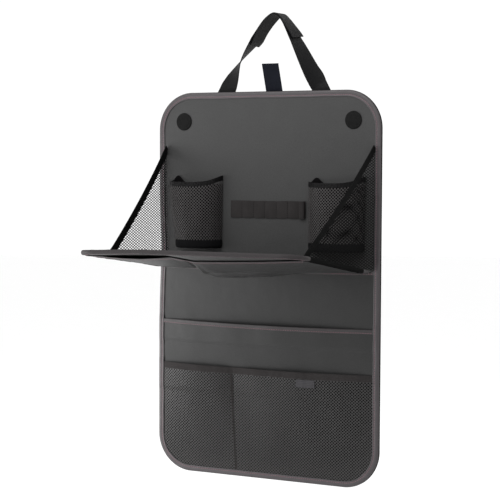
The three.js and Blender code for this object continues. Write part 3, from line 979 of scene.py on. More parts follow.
@dataclass
class Panel(SubAssembly):
    """The padded panel: its covers and the bound, stitched edge."""

    width: float = 420.0
    height: float = 660.0
    corner: float = 64.0
    cover: float = 1.2
    back_face: float = 5.6
    binding_front: float = -1.3
    binding_back: float = 6.9
    binding_cloth: float = 0.85
    # Share of the binding's width from which it is taupe; from there back it is black, as painted
    # shade.
    shade_join: float = 0.55
    binding_flat: float = 30.0
    stitch_pitch: float = 4.0
    rounded_share: float = 0.985

    @property
    def outline(self) -> Outline:
        """The panel's edge."""
        return Outline(self.width / 2, 0.0, self.height, self.corner, self.corner)

    def _cover(self, name: str, front: bool) -> bpy.types.Object:
        """Makes the leather face or the cloth back."""
        inset = 1.3
        half, foot, head = self.width / 2 - inset, inset, self.height - inset
        outline = Outline(half, foot, head, self.corner - inset, self.corner - inset)

        def where(u: np.ndarray, v: np.ndarray) -> np.ndarray:
            """The cover's face, gently uneven."""
            across = (2 * u - 1) * half * (1 if front else -1)
            x, z = outline.rounded(across, foot + v * (head - foot))
            uneven = 0.5 + 0.5 * ripple(x, z, 95.0, 0.8)
            y = 0.22 * uneven if front else self.back_face - 0.2 * uneven
            return stack(x, y, z)

        size = (2 * half, head - foot)
        return self.bench.sheet(name, (96, 150), size, where, self.cover if front else 0.75)

    def build(self) -> None:
        """Makes the covers, the binding with its outer side and back half black as painted shade,
        and its stitches.
        """
        face = self._cover("panel_face", True)
        self.bench.hand_over(face, Body.PANEL, Finish.LEATHER, ["front_cover"])
        cloth(face, (self.width, self.height), Held.STRETCHED, self.rounded_share)
        back = self._cover("panel_backing", False)
        self.bench.hand_over(back, Body.PANEL, Finish.BACKING, ["back_cloth"])
        cloth(back, (self.width, self.height), Held.STRETCHED, self.rounded_share)

        tape = EdgeTape(self.outline, self.binding_front, self.binding_back)
        length = self.outline.length

        def half(low: float, high: float) -> Mapping:
            """The part of the binding's face between two shares of its width."""
            def where(u: np.ndarray, v: np.ndarray) -> np.ndarray:
                """The binding's face."""
                a, b, depth = tape.face(u * length, low + v * (high - low), PocketLayers.lift)
                return stack(a, depth, b)
            return where

        # The binding is taupe at the front; over its outer side and back lap it is black, painted
        # shade of the side away from the light.
        for name, finish, low, high in (
            ("panel_binding", Finish.BINDING, self.shade_join, 1.0),
            ("panel_binding_shade", Finish.BACK_TAPE, 0.0, self.shade_join),
        ):
            cells = (520, round(tape.section_cells * (high - low)))
            size = (length, self.binding_flat * (high - low))
            piece = self.bench.sheet(
                name, cells, size, half(low, high), self.binding_cloth, weld=True
            )
            self.bench.hand_over(piece, Body.PANEL, finish, ["edge_binding"], smooth_deg=60.0)
        for name, front in (("panel_stitches", True), ("panel_back_stitches", False)):
            middles, ahead = tape.seam_places(self.stitch_pitch, front, PocketLayers.lift)
            order = [0, 2, 1]
            self.seam(name, Body.PANEL, Finish.THREAD, middles[:, order], ahead[:, order],
                      (0.0, -1.0 if front else 1.0, 0.0))


class PocketLayers:
    """How the flat pockets lie on one another. Heights are above the panel's foot."""

    UPPER_SEAM = 235.0
    UPPER_MOUTH = 361.0
    MIDDLE_SEAM = 150.0
    MIDDLE_MOUTH = 266.0
    LOWER_SEAM = 9.0
    LOWER_MOUTH = 191.0
    SLACK = 8.0
    LAYER = 1.1
    HALF = 203.0
    FREE_HALF = 198.7
    MOUTH_HALF = 199.4
    DIVIDER = -60.0

    @classmethod
    def lift(cls, z: np.ndarray) -> np.ndarray:
        """How much the panel's binding rises over the pockets that are sewn under it."""
        def layer(low: float, high: float) -> np.ndarray:
            """One pocket's layer, from its seam to its mouth."""
            return smooth(z, low - 9, low - 2) * (1 - smooth(z, high + 1, high + 9))

        side = layer(cls.UPPER_SEAM, cls.UPPER_MOUTH) + layer(cls.MIDDLE_SEAM, cls.MIDDLE_MOUTH)
        return cls.LAYER * (side + layer(-40.0, cls.LOWER_MOUTH))

    @classmethod
    def _slack(cls, x: np.ndarray, z: np.ndarray, seam: float, mouth: float) -> np.ndarray:
        """How far a pocket's own slack carries it out."""
        return cls.SLACK * crown(x / cls.FREE_HALF) * smooth(z, seam, mouth)

    @classmethod
    def upper(cls, x: np.ndarray, z: np.ndarray) -> np.ndarray:
        """Depth of the upper pocket's back."""
        return COVER_FACE - cls._slack(x, z, cls.UPPER_SEAM, cls.UPPER_MOUTH)

    @classmethod
    def middle(cls, x: np.ndarray, z: np.ndarray) -> np.ndarray:
        """Depth of the middle pocket's back."""
        under = cls.LAYER * smooth(z, cls.UPPER_SEAM - 9, cls.UPPER_SEAM - 1)
        under = under + cls._slack(x, z, cls.UPPER_SEAM, cls.UPPER_MOUTH)
        return COVER_FACE - under - cls._slack(x, z, cls.MIDDLE_SEAM, cls.MIDDLE_MOUTH)

    @classmethod
    def lower(cls, x: np.ndarray, z: np.ndarray) -> np.ndarray:
        """Depth of the lower pocket's back, which the divider holds down between two swells."""
        left = crown((2 * x + cls.FREE_HALF - cls.DIVIDER) / (cls.FREE_HALF + cls.DIVIDER))
        right = crown((2 * x - cls.FREE_HALF - cls.DIVIDER) / (cls.FREE_HALF - cls.DIVIDER))
        swell = np.where(x < cls.DIVIDER, left, right) * smooth(z, cls.LOWER_SEAM, cls.LOWER_MOUTH)
        return cls.under_lower(x, z) - cls.SLACK * swell

    @classmethod
    def under_lower(cls, x: np.ndarray, z: np.ndarray) -> np.ndarray:
        """Depth of the front of all that lies under the lower pocket."""
        under = cls.LAYER * smooth(z, cls.MIDDLE_SEAM - 9, cls.MIDDLE_SEAM - 1)
        return COVER_FACE - under - cls._slack(x, z, cls.MIDDLE_SEAM, cls.MIDDLE_MOUTH)

    @classmethod
    def dip(cls, x: np.ndarray, z: np.ndarray, seam: float, mouth: float) -> np.ndarray:
        """How much lower the cloth hangs where its slack carries it out."""
        return 2.0 * crown(x / cls.FREE_HALF) * smooth(z, seam, mouth)


@dataclass
class FlatPockets(SubAssembly):
    """The two leather pockets, and the mesh pocket with its elastic, divider and tab."""

    cloth_mm: float = 0.75
    upper_hem: float = 4.6
    middle_hem: float = 7.0
    elastic: float = 12.0
    net_cell: tuple[float, float] = (5.6, 5.2)
    net_thread: tuple[float, float] = (1.1, 0.5)
    tab_x: float = 81.0
    tab_size: tuple[float, float] = (34.0, 13.0)
    net_corner: float = 56.0

    def _facing(
        self, name: str, seam: float, mouth: float, back: Mapping, relief: Mapping, node: str
    ) -> None:
        """Makes one leather pocket's facing.

        Args:
            name: The piece's name.
            seam: Height of the seam at its foot.
            mouth: Height of its mouth.
            back: Gives the depth of its back.
            relief: Gives how far its folds stand out.
            node: The CAD node that it stands for.
        """
        half = PocketLayers.HALF

        def where(u: np.ndarray, v: np.ndarray) -> np.ndarray:
            """The facing's front."""
            x, z = (2 * u - 1) * half, seam + v * (mouth - seam)
            y = back(x, z) - self.cloth_mm - relief(x, z)
            return stack(x, y, z - PocketLayers.dip(x, z, seam, mouth))

        piece = self.bench.sheet(name, (120, 44), (2 * half, mouth - seam), where, self.cloth_mm)
        self.bench.hand_over(piece, Body.PANEL, Finish.FACING, [node])
        cloth(piece, (2 * half, mouth - seam + 3), Held.HUNG)

    def _hem(
        self,
        name: str,
        hem: float,
        seam: float,
        mouth: float,
        back: Mapping,
        relief: Mapping,
        node: str,
    ) -> None:
        """Makes the folded hem over a facing's mouth, and its stitches.

        Args:
            name: The piece's name.
            hem: The hem's height.
            seam: As in _facing, like mouth, back, relief and node.
            mouth: Height of the facing's mouth.
            back: Gives the depth of the facing's back.
            relief: Gives how far the facing's folds stand out.
            node: The CAD node that the hem stands for.
        """
        half = PocketLayers.MOUTH_HALF
        face = self.cloth_mm
        section_off = np.array([0.25, 0.75, 0.9, 0.9, 0.9, 0.75, 0.3, -0.4, -0.75])
        from_mouth = np.array(
            [-0.3 - hem, -0.15 - hem, 0.3 - hem, 2.0 - hem, -0.8, 0.0, 0.55, 0.65, 0.1]
        )
        section_z = from_mouth + mouth
        stops = np.linspace(0.0, 1.0, len(section_z))

        def where(u: np.ndarray, v: np.ndarray) -> np.ndarray:
            """The hem's face."""
            x, z = (2 * u - 1) * half, np.interp(v, stops, section_z)
            pucker = 0.12 * ripple(x, z, 15.0, 0.4) * smooth(v, 0.1, 0.4)
            off = np.interp(v, stops, section_off) + pucker
            held = np.minimum(z, mouth)
            y = back(x, held) - face - relief(x, held) - off
            return stack(x, y, z - PocketLayers.dip(x, held, seam, mouth))

        piece = self.bench.sheet(name, (160, 16), (2 * half, 10.0), where, 0.5)
        self.bench.hand_over(piece, Body.PANEL, Finish.HEM, [node], smooth_deg=70.0)
        x = np.arange(-half + 3, half - 3, 4.3)
        z = np.full(len(x), mouth - hem + 1.6)
        drop = PocketLayers.dip(x, z, seam, mouth)
        middles = stack(x, back(x, z) - face - relief(x, z) - 0.92, z - drop)
        further = x + 0.5
        ahead = stack(further, back(further, z) - face - relief(further, z) - 0.92, z - drop)
        self.seam(f"{name}_stitches", Body.PANEL, Finish.THREAD, middles, ahead, OUT_OF_FRONT)

    def _net(self) -> None:
        """Makes the open mesh of the lower pocket, and the dark sheet behind it that is painted
        shade.
        """
        head = PocketLayers.LOWER_MOUTH - self.elastic + 1.5
        foot, half = PocketLayers.LOWER_SEAM, PocketLayers.HALF
        corner = self.net_corner
        outline = Outline(half, foot, head, corner)
        size = (2 * half, head - foot)

        def inside(p: np.ndarray, q: np.ndarray) -> np.ndarray:
            """Cells whose middle is inside the rounded corners."""
            x, z = np.abs(p - half), q + foot
            a, b = x - (half - corner), (foot + corner) - z
            return ~((a > 0) & (b > 0) & (np.hypot(a, b) > corner + 1.5))

        def where(p: np.ndarray, q: np.ndarray) -> np.ndarray:
            """The net's middle surface."""
            x, z = p - half, q + foot
            a, b = np.abs(x) - (half - corner), (foot + corner) - z
            reach = np.hypot(a, b)
            over = (a > 0) & (b > 0) & (reach > corner)
            pull = np.where(over, corner / np.maximum(reach, 1.0), 1.0)
            x = np.where(over, np.sign(x) * (half - corner + a * pull), x)
            z = np.where(over, foot + corner - b * pull, z)
            y = PocketLayers.lower(x, z) - 0.45 - self._net_relief(x, z)
            return stack(x, y, z - PocketLayers.dip(x, z, foot, PocketLayers.LOWER_MOUTH))

        piece = self.bench.net(
            "lower_pocket_net", size, self.net_cell, self.net_thread, inside, where
        )
        self.bench.hand_over(piece, Body.PANEL, Finish.POCKET_MESH, ["lower_mesh_pocket"])
        cloth(piece, size, Held.HUNG, 0.5)

        # A dark sheet behind the mesh: painted shade of the pocket's inside, seen through the
        # holes.
        def behind(u: np.ndarray, v: np.ndarray) -> np.ndarray:
            """The painted-shade sheet's face, on the panel and the middle pocket."""
            x, z = outline.rounded((2 * u - 1) * half, foot + v * (head - foot))
            return stack(x, PocketLayers.under_lower(x, z) - 0.35, z)

        net_shade_sheet = self.bench.sheet("lower_pocket_shade_sheet", (90, 60), size, behind, 0.3)
        self.bench.hand_over(net_shade_sheet, Body.PANEL, Finish.POCKET_LINING)
        cloth(net_shade_sheet, size, Held.STRETCHED, 0.98)

    @staticmethod
    def _net_relief(x: np.ndarray, z: np.ndarray) -> np.ndarray:
        """Soft folds of the mesh, none along its seams."""
        loose = smooth(z, 14.0, 60.0) * crown(x / 200.0)
        return loose * (0.9 + 0.9 * ripple(x, z * 0.6, 85.0, 1.3))

    def _divider(self) -> None:
        """Makes the stitched tape that divides the mesh pocket."""
        foot, head = PocketLayers.LOWER_SEAM + 3, PocketLayers.LOWER_MOUTH - self.elastic

        def line(z: np.ndarray) -> np.ndarray:
            """The divider leans a little, as it was sewn."""
            return PocketLayers.DIVIDER - 4.0 + 9.0 * (head - z) / (head - foot)

        def where(u: np.ndarray, v: np.ndarray) -> np.ndarray:
            """The tape's face."""
            z = foot + v * (head - foot)
            x = line(z) + (u - 0.5) * 4.2
            y = PocketLayers.lower(line(z), z) - 1.15 - self._net_relief(x, z)
            return stack(x, y, z - PocketLayers.dip(x, z, foot, PocketLayers.LOWER_MOUTH))

        piece = self.bench.sheet("divider_tape", (4, 60), (4.2, head - foot), where, 0.4)
        self.bench.hand_over(piece, Body.PANEL, Finish.POCKET_ELASTIC)
        z = np.arange(foot + 2, head - 1, 4.0)
        x = line(z)
        middles = stack(x, PocketLayers.lower(x, z) - 1.25 - self._net_relief(x, z),
                        z - PocketLayers.dip(x, z, foot, PocketLayers.LOWER_MOUTH))
        self.seam("divider_stitches", Body.PANEL, Finish.DARK_THREAD, middles,
                  middles + np.array([0.0, 0.0, 1.0]), OUT_OF_FRONT, (3.0, 0.7, 0.6))

    def _elastic(self) -> None:
        """Makes the elastic that gathers the mesh pocket's mouth, and the bare tab below it."""
        foot, head = PocketLayers.LOWER_MOUTH - self.elastic, PocketLayers.LOWER_MOUTH
        seam, half = PocketLayers.LOWER_SEAM, PocketLayers.MOUTH_HALF

        def face(x: np.ndarray, z: np.ndarray) -> np.ndarray:
            """Depth of the elastic's front."""
            gathers = 0.22 * ripple(x, z * 0.3, 9.0, 2.2) * crown(x / 199.0)
            return PocketLayers.lower(x, z) - 1.0 - self._net_relief(x, z) - gathers

        def where(u: np.ndarray, v: np.ndarray) -> np.ndarray:
            """The elastic's front."""
            x, z = (2 * u - 1) * half, foot + v * (head - foot)
            rolled = 0.5 * np.square(2 * v - 1) ** 4
            return stack(x, face(x, z) + rolled, z - PocketLayers.dip(x, z, seam, head))

        size = (2 * half, self.elastic)
        band = self.bench.sheet("lower_pocket_band", (260, 14), size, where, 0.9)
        self.bench.hand_over(band, Body.PANEL, Finish.POCKET_ELASTIC, ["lower_pocket_elastic"])
        cloth(band, (2 * half, self.elastic + 0.5), Held.GATHERED)
        width, height = self.tab_size
        top = foot - 2.0

        def tab(u: np.ndarray, v: np.ndarray) -> np.ndarray:
            """The tab's front, its free end curling up a little."""
            x = self.tab_x + (u - 0.5) * width
            z = top - height + v * height
            y = face(x, np.full(len(z), foot)) - 0.35 - 0.8 * np.square(1 - v) + 0.25 * (1 - v)
            return stack(x, y, z)

        piece = self.bench.sheet("small_tab", (24, 12), (width, height), tab, 0.6)
        self.bench.hand_over(piece, Body.PANEL, Finish.TAB, ["pocket_tab"])
        cloth(piece, (width, height), Held.HUNG)

    def build(self) -> None:
        """Makes the pockets from the panel outwards."""
        layers = PocketLayers

        def upper_relief(x: np.ndarray, z: np.ndarray) -> np.ndarray:
            """Soft folds of the upper pocket where nothing lies on it."""
            folds = 0.35 + 0.35 * ripple(x, z * 0.5, 120.0, 2.1)
            return smooth(z, 272, 300) * crown(x / layers.FREE_HALF) * folds

        def middle_relief(x: np.ndarray, z: np.ndarray) -> np.ndarray:
            """Soft folds of the middle pocket near its mouth."""
            folds = 0.7 + 0.7 * ripple(x, z * 0.35, 110.0, 0.9)
            return smooth(z, 200, 240) * crown(x / layers.FREE_HALF) * folds

        upper = (layers.UPPER_SEAM, layers.UPPER_MOUTH, layers.upper, upper_relief)
        middle = (layers.MIDDLE_SEAM, layers.MIDDLE_MOUTH, layers.middle, middle_relief)
        for name, hem, shape in (
            ("upper", self.upper_hem, upper),
            ("middle", self.middle_hem, middle),
        ):
            self._facing(f"{name}_facing", *shape, f"{name}_pocket")
            self._hem(f"{name}_hem", hem, *shape, f"{name}_pocket_hem")
        self._net()
        self._divider()
        self._elastic()


@dataclass
class CupPocket(SubAssembly):
    """A bottle pocket of mesh with an elastic mouth and a cloth base."""

    side: str = "left"
    sign: float = -1.0
    middle_x: float = 133.5
    width: float = 101.0
    depth: float = 38.0
    foot: float = 393.0
    mouth: float = 512.0
    base: float = 14.0
    elastic: float = 8.0
    dip: float = 1.8
    droop: float = 4.0
    corner_rise: float = 9.5
    taper: float = 1.0
    drift: float = 10.0
    # How far the painted-shade sheet rises at its peak near the cup's left end, for the shade under
    # the mouth's left side.
    lens: float = 14.0
    cell: tuple[float, float] = (5.6, 5.6)
    thread: tuple[float, float] = (1.05, 0.5)
    keep: float = 0.14
    # Where that peak stands from the sheet's left end, and how wide it spreads.
    shade_peak_at: float = 13.0
    shade_peak_spread: float = 10.5

    def _oval(self, share: np.ndarray, inset: float = 0.0) -> tuple[np.ndarray, np.ndarray]:
        """The wall's plan, half an oval.

        Args:
            share: Shares of its length, from its left end.
            inset: How far inside the outer face.

        Returns:
            The panel's x and y.
        """
        angle = np.linspace(math.pi, 0.0, 361)
        x = (self.width / 2 - inset) * np.cos(angle)
        y = -(self.depth - inset) * np.sin(angle)
        steps = np.concatenate([[0.0], np.cumsum(np.hypot(np.diff(x), np.diff(y)))])
        at = np.clip(share, 0, 1) * steps[-1]
        middle = self.sign * self.middle_x
        return middle + np.interp(at, steps, x), COVER_FACE + np.interp(at, steps, y)

    @property
    def girth(self) -> float:
        """The length of the wall round the cup."""
        a, b = self.width / 2, self.depth
        return math.pi / 2 * (3 * (a + b) - math.sqrt((3 * a + b) * (a + 3 * b)))

    def _wall(self, share: np.ndarray, z: np.ndarray, inset: float) -> np.ndarray:
        """The wall's surface, slack between base and mouth and dipping at the mouth's front.

        Args:
            share: Shares of its length, from its left end.
            z: Heights before it sags.
            inset: How far inside the outer face.

        Returns:
            Panel places.
        """
        rise = np.clip((z - self.foot) / (self.mouth - self.foot), 0.0, 1.0)
        x, y = self._oval(share, inset)
        loose = np.sin(math.pi * rise) * np.sin(math.pi * np.clip(share, 0, 1)) ** 0.5
        fold = 0.55 * ripple(share * self.girth, z * 0.7, 46.0, 1.1 + self.sign) * loose
        y = y * (1 - 0.05 * smooth(rise, 0.45, 1.0)) + fold
        x = self._drawn_in(x, rise)
        dip = self.dip * np.sin(math.pi * np.clip(share, 0, 1))
        corner = self.corner_rise * np.exp(-np.square((1 - share) / 0.2))
        sag = (self.droop + dip) * smooth(rise, 0.2, 1.0) - corner * smooth(rise, 0.5, 1.0)
        return stack(x, np.minimum(y, COVER_FACE), z - sag)

    def _drawn_in(self, x: np.ndarray, rise: np.ndarray) -> np.ndarray:
        """Draws the cup's lower end in, more on its left side."""
        middle = self.sign * self.middle_x
        low = 1 - smooth(rise, 0.0, 0.75)
        left = np.clip((middle - x) / self.width + 0.5, 0.0, 1.0)
        narrowed = (x - middle) * (1 - self.taper / self.width * 2 * low)
        return middle + narrowed + self.drift * left * low

    def _squash(self, piece: bpy.types.Object) -> None:
        """Gives a piece its own copy of its mesh."""
        anchor = self.bench.place(np.array([0.0, COVER_FACE, self.foot]))
        tuple(anchor)
        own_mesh(piece)

    def _net(self) -> None:
        """Makes the mesh wall."""
        foot, head = self.foot + self.base - 2.0, self.mouth - self.elastic + 1.5
        size = (self.girth, head - foot)

        def where(p: np.ndarray, q: np.ndarray) -> np.ndarray:
            """The mesh's middle surface."""
            return self._wall(p / self.girth, foot + q, 0.75)

        piece = self.bench.net(
            f"{self.side}_cup_net", size, self.cell, self.thread, lambda p, q: p > -1, where
        )
        self.bench.hand_over(piece, Body.PANEL, Finish.CUP_MESH, [f"{self.side}_cup_mesh"])
        cloth(piece, size, Held.HUNG, 0.5)
        self._squash(piece)

    def _band(self) -> None:
        """Makes the elastic round the mouth."""
        foot = self.mouth - self.elastic

        def where(u: np.ndarray, v: np.ndarray) -> np.ndarray:
            """The elastic's outer face, from its left end to its right one."""
            z = foot + v * self.elastic
            points = self._wall(u, z, 0.0)
            gathers = 0.3 * ripple(u * self.girth, z * 0.2, 8.0, 0.5) * np.sin(math.pi * u)
            rolled = 0.4 * np.square(2 * v - 1) ** 4
            points[:, 1] = np.minimum(points[:, 1] + gathers + rolled, COVER_FACE - 0.02)
            return points

        size = (self.girth, self.elastic)
        piece = self.bench.sheet(f"{self.side}_cup_band", (120, 10), size, where, 0.9)
        self.bench.hand_over(piece, Body.PANEL, Finish.CUP_ELASTIC, [f"{self.side}_cup_elastic"])
        self._squash(piece)

    def _shade_sheet(self) -> None:
        """Makes the black sheet at the cup's back, painted shade of the cup's inside, rising near
        its left end as painted shade under the mouth's left side.
        """
        half = self.width / 2 - 0.5
        foot, top = self.foot + 2.0, self.mouth - 9.0
        middle = self.sign * self.middle_x

        def where(u: np.ndarray, v: np.ndarray) -> np.ndarray:
            """The painted-shade sheet's face."""
            x = middle + (2 * u - 1) * half
            from_shade_peak = x - (middle - half) - self.shade_peak_at
            shade_peak = np.exp(-np.square(from_shade_peak / self.shade_peak_spread))
            z = foot + v * (top + self.lens * shade_peak - foot)
            out = 0.55 + 1.6 * shade_peak * smooth(v, 0.85, 1.0)
            rise = (z - self.foot) / (self.mouth - self.foot)
            return stack(self._drawn_in(x, rise), COVER_FACE - out, z)

        size = (2 * half, top - self.foot)
        piece = self.bench.sheet(f"{self.side}_cup_shade_sheet", (60, 60), size, where, 0.4)
        self.bench.hand_over(piece, Body.PANEL, Finish.LINING)
        cloth(piece, size, Held.STRETCHED)

    def _base(self) -> None:
        """Makes the cloth base: a wall that turns in to a floor."""
        turn = 0.72

        def where(u: np.ndarray, v: np.ndarray) -> np.ndarray:
            """The base's outer face: floor from its middle, round the edge and up the wall."""
            centre_x, centre_y = self.sign * self.middle_x, COVER_FACE
            edge_x, edge_y = self._oval(u)
            edge_x = self._drawn_in(edge_x, np.zeros(len(edge_x)))
            rounded = 1 - 0.035 * np.exp(-np.square((v - turn) / 0.05))
            spread = np.maximum(np.clip(v / turn, 0.0, 1.0), 0.02) * rounded
            x = centre_x + (edge_x - centre_x) * spread
            y = centre_y + (edge_y - centre_y) * spread
            z = self.foot + np.clip((v - turn) / (1 - turn), 0, 1) * self.base
            swell = 0.48 * np.sin(math.pi * np.clip(v / turn, 0, 1)) * np.sin(math.pi * u)
            return stack(x, y, z + np.where(v < turn, swell, 0.0))

        piece = self.bench.sheet(f"{self.side}_cup_floor", (90, 28), (self.girth, 40.0), where, 0.8)
        self.bench.hand_over(piece, Body.PANEL, Finish.BACKING, [f"{self.side}_cup_base"])
        self._squash(piece)

    def build(self) -> None:
        """Makes the cup's painted-shade sheet, wall, mouth and base."""
        self._shade_sheet()
        self._net()
        self._band()
        self._base()


@dataclass
class PenLoop(SubAssembly):
    """A flat elastic sewn down in cells, with one open loop at its end."""

    left: float = -67.0
    width: float = 141.0
    height: float = 29.0
    foot: float = 446.0
    cells: int = 6
    end_cell: float = 11.0
    elastic: float = 0.85
    lift: float = 1.4
    end_lift: float = 6.3

    @property
    def cell_width(self) -> float:
        """The width of one flat cell."""
        return (self.width - self.end_cell) / self.cells

    def _line(self) -> tuple[np.ndarray, np.ndarray]:
        """The elastic's line in plan, along x and out from the panel."""
        steps = 10
        places = range(self.cells * steps)
        x = [self.left + self.cell_width * k / steps for k in places]
        out = [0.95 + self.lift * abs(math.sin(math.pi * k / steps)) ** 0.8 for k in places]
        start = self.left + self.width - self.end_cell
        for angle in np.linspace(0.0, math.pi, 25):
            x.append(start + self.end_cell / 2 * (1 - math.cos(angle)))
            out.append(1.1 + (self.end_lift - 1.0) * math.sin(angle) ** 0.5)
        return np.array(x), np.array(out)

    def build(self) -> None:
        """Makes the elastic and its stitched divisions."""
        x_line, out_line = self._line()
        steps = np.concatenate([[0.0], np.cumsum(np.hypot(np.diff(x_line), np.diff(out_line)))])
        length = steps[-1]

        def where(u: np.ndarray, v: np.ndarray) -> np.ndarray:
            """The elastic's face."""
            x, out = np.interp(u * length, steps, x_line), np.interp(u * length, steps, out_line)
            z = self.foot + v * self.height
            rolled = 0.3 * np.square(2 * v - 1) ** 6
            wave = 0.5 * ripple(x, z * 0.5, 60.0, 0.7) * np.sin(math.pi * u)
            return stack(x, -out - 0.2 + rolled, z + wave)

        size = (length, self.height)
        piece = self.bench.sheet("pen_elastic", (200, 16), size, where, self.elastic)
        self.bench.hand_over(piece, Body.PANEL, Finish.POCKET_ELASTIC, ["pen_loop_elastic"])
        cloth(piece, (length, self.height), Held.STRETCHED)
        rows = np.arange(self.foot + 2, self.foot + self.height - 1, 3.4)
        seams = [self.left + 1.6]
        seams += [self.left + self.cell_width * k for k in range(1, self.cells + 1)]
        x = np.repeat(seams, len(rows))
        z = np.tile(rows, len(seams))
        middles = stack(x, np.full(len(x), -1.15), z)
        self.seam("pen_stitches", Body.PANEL, Finish.DARK_THREAD, middles,
                  middles + np.array([0.0, 0.0, 1.0]), OUT_OF_FRONT, (2.8, 0.7, 0.7))


@dataclass
class Dots(SubAssembly):
    """The round hook-and-loop fasteners, two on the panel and their mates on the tray."""

    x: float = 160.0
    z: float = 610.0
    radius: float = 15.0
    pile: float = 1.45

    def _disc(self, name: str, body: Body, node: str, where: Mapping) -> None:
        """Makes one disc of pile.

        Args:
            name: The piece's name.
            body: The body that it rides on.
            node: The CAD node that it stands for.
            where: Takes places from the disc's middle, and the pile's height.
        """
        def spread(u: np.ndarray, v: np.ndarray) -> np.ndarray:
            """Squares a disc, then raises the pile off it."""
            a, b = 2 * u - 1, 2 * v - 1
            p, q = a * np.sqrt(1 - b * b / 2), b * np.sqrt(1 - a * a / 2)
            reach = np.hypot(p, q)
            tufts = 0.16 * ripple(p * self.radius, q * self.radius, 1.7, 0.9)
            tufts += 0.1 * ripple(p * self.radius, q * self.radius, 0.9, 2.4)
            edge = 0.85 * smooth(reach, 0.93, 1.0)
            return where(p * self.radius, q * self.radius, self.pile - 0.2 + tufts - edge)

        piece = self.bench.sheet(name, (56, 56), (2 * self.radius,) * 2, spread, 0.55)
        self.bench.hand_over(piece, body, Finish.PILE, [node], smooth_deg=60.0)

    def build(self) -> None:
        """Makes the four discs."""
        for side, sign in (("left", -1.0), ("right", 1.0)):
            self._disc(
                f"{side}_loop_pile", Body.PANEL, f"{side}_loop_dot",
                lambda p, q, h, sign=sign: stack(sign * self.x + p, COVER_FACE - h, self.z + q),
            )
            self._disc(
                f"{side}_hook_pile", Body.TRAY, f"{side}_hook_dot",
                lambda p, q, h, sign=sign: TrayFrame.place(
                    sign * self.x + p, self.z - TrayFrame.HINGE_Z - q, 0.8 + h
                ),
            )


class TrayFrame:
    """Where the open tray lies: depth runs out from its hinge and height up from its top cover."""

    HINGE_OUT = 10.0
    HINGE_Z = 362.4
    TILT = math.radians(8.0)
    DEPTH = 288.0
    SWING = 6.2

    @classmethod
    def place(cls, x: np.ndarray, d: np.ndarray, h: np.ndarray) -> np.ndarray:
        """Turns places on the tray into panel places.

        Args:
            x: Across the tray.
            d: Depth from the hinge.
            h: Height above the top cover.

        Returns:
            The panel's x, y and z.
        """
        c, s = math.cos(cls.TILT), math.sin(cls.TILT)
        h = h + cls.warp(x, d)
        return stack(x + cls.skew(d), -cls.HINGE_OUT - d * c + h * s, cls.HINGE_Z + d * s + h * c)

    @classmethod
    def skew(cls, d: np.ndarray) -> np.ndarray:
        """How far the cloth hinge lets the tray swing to the right at each depth."""
        return cls.SWING * np.clip(np.asarray(d, float) / cls.DEPTH, 0.0, 1.0)

    @classmethod
    def warp(cls, x: np.ndarray, d: np.ndarray) -> np.ndarray:
        """The tray's slight twist: its left corner droops and its right one stands up."""
        x = np.asarray(x, float)
        corners = 0.5 * smooth(x, 80.0, 195.0) - 3.2 * smooth(-x, 60.0, 195.0)
        return (corners + 0.3 * crown(x / 200.0)) * smooth(d, 40.0, cls.DEPTH)

    @classmethod
    def up(cls) -> np.ndarray:
        """The direction off the tray's top."""
        return np.array([0.0, math.sin(cls.TILT), math.cos(cls.TILT)])


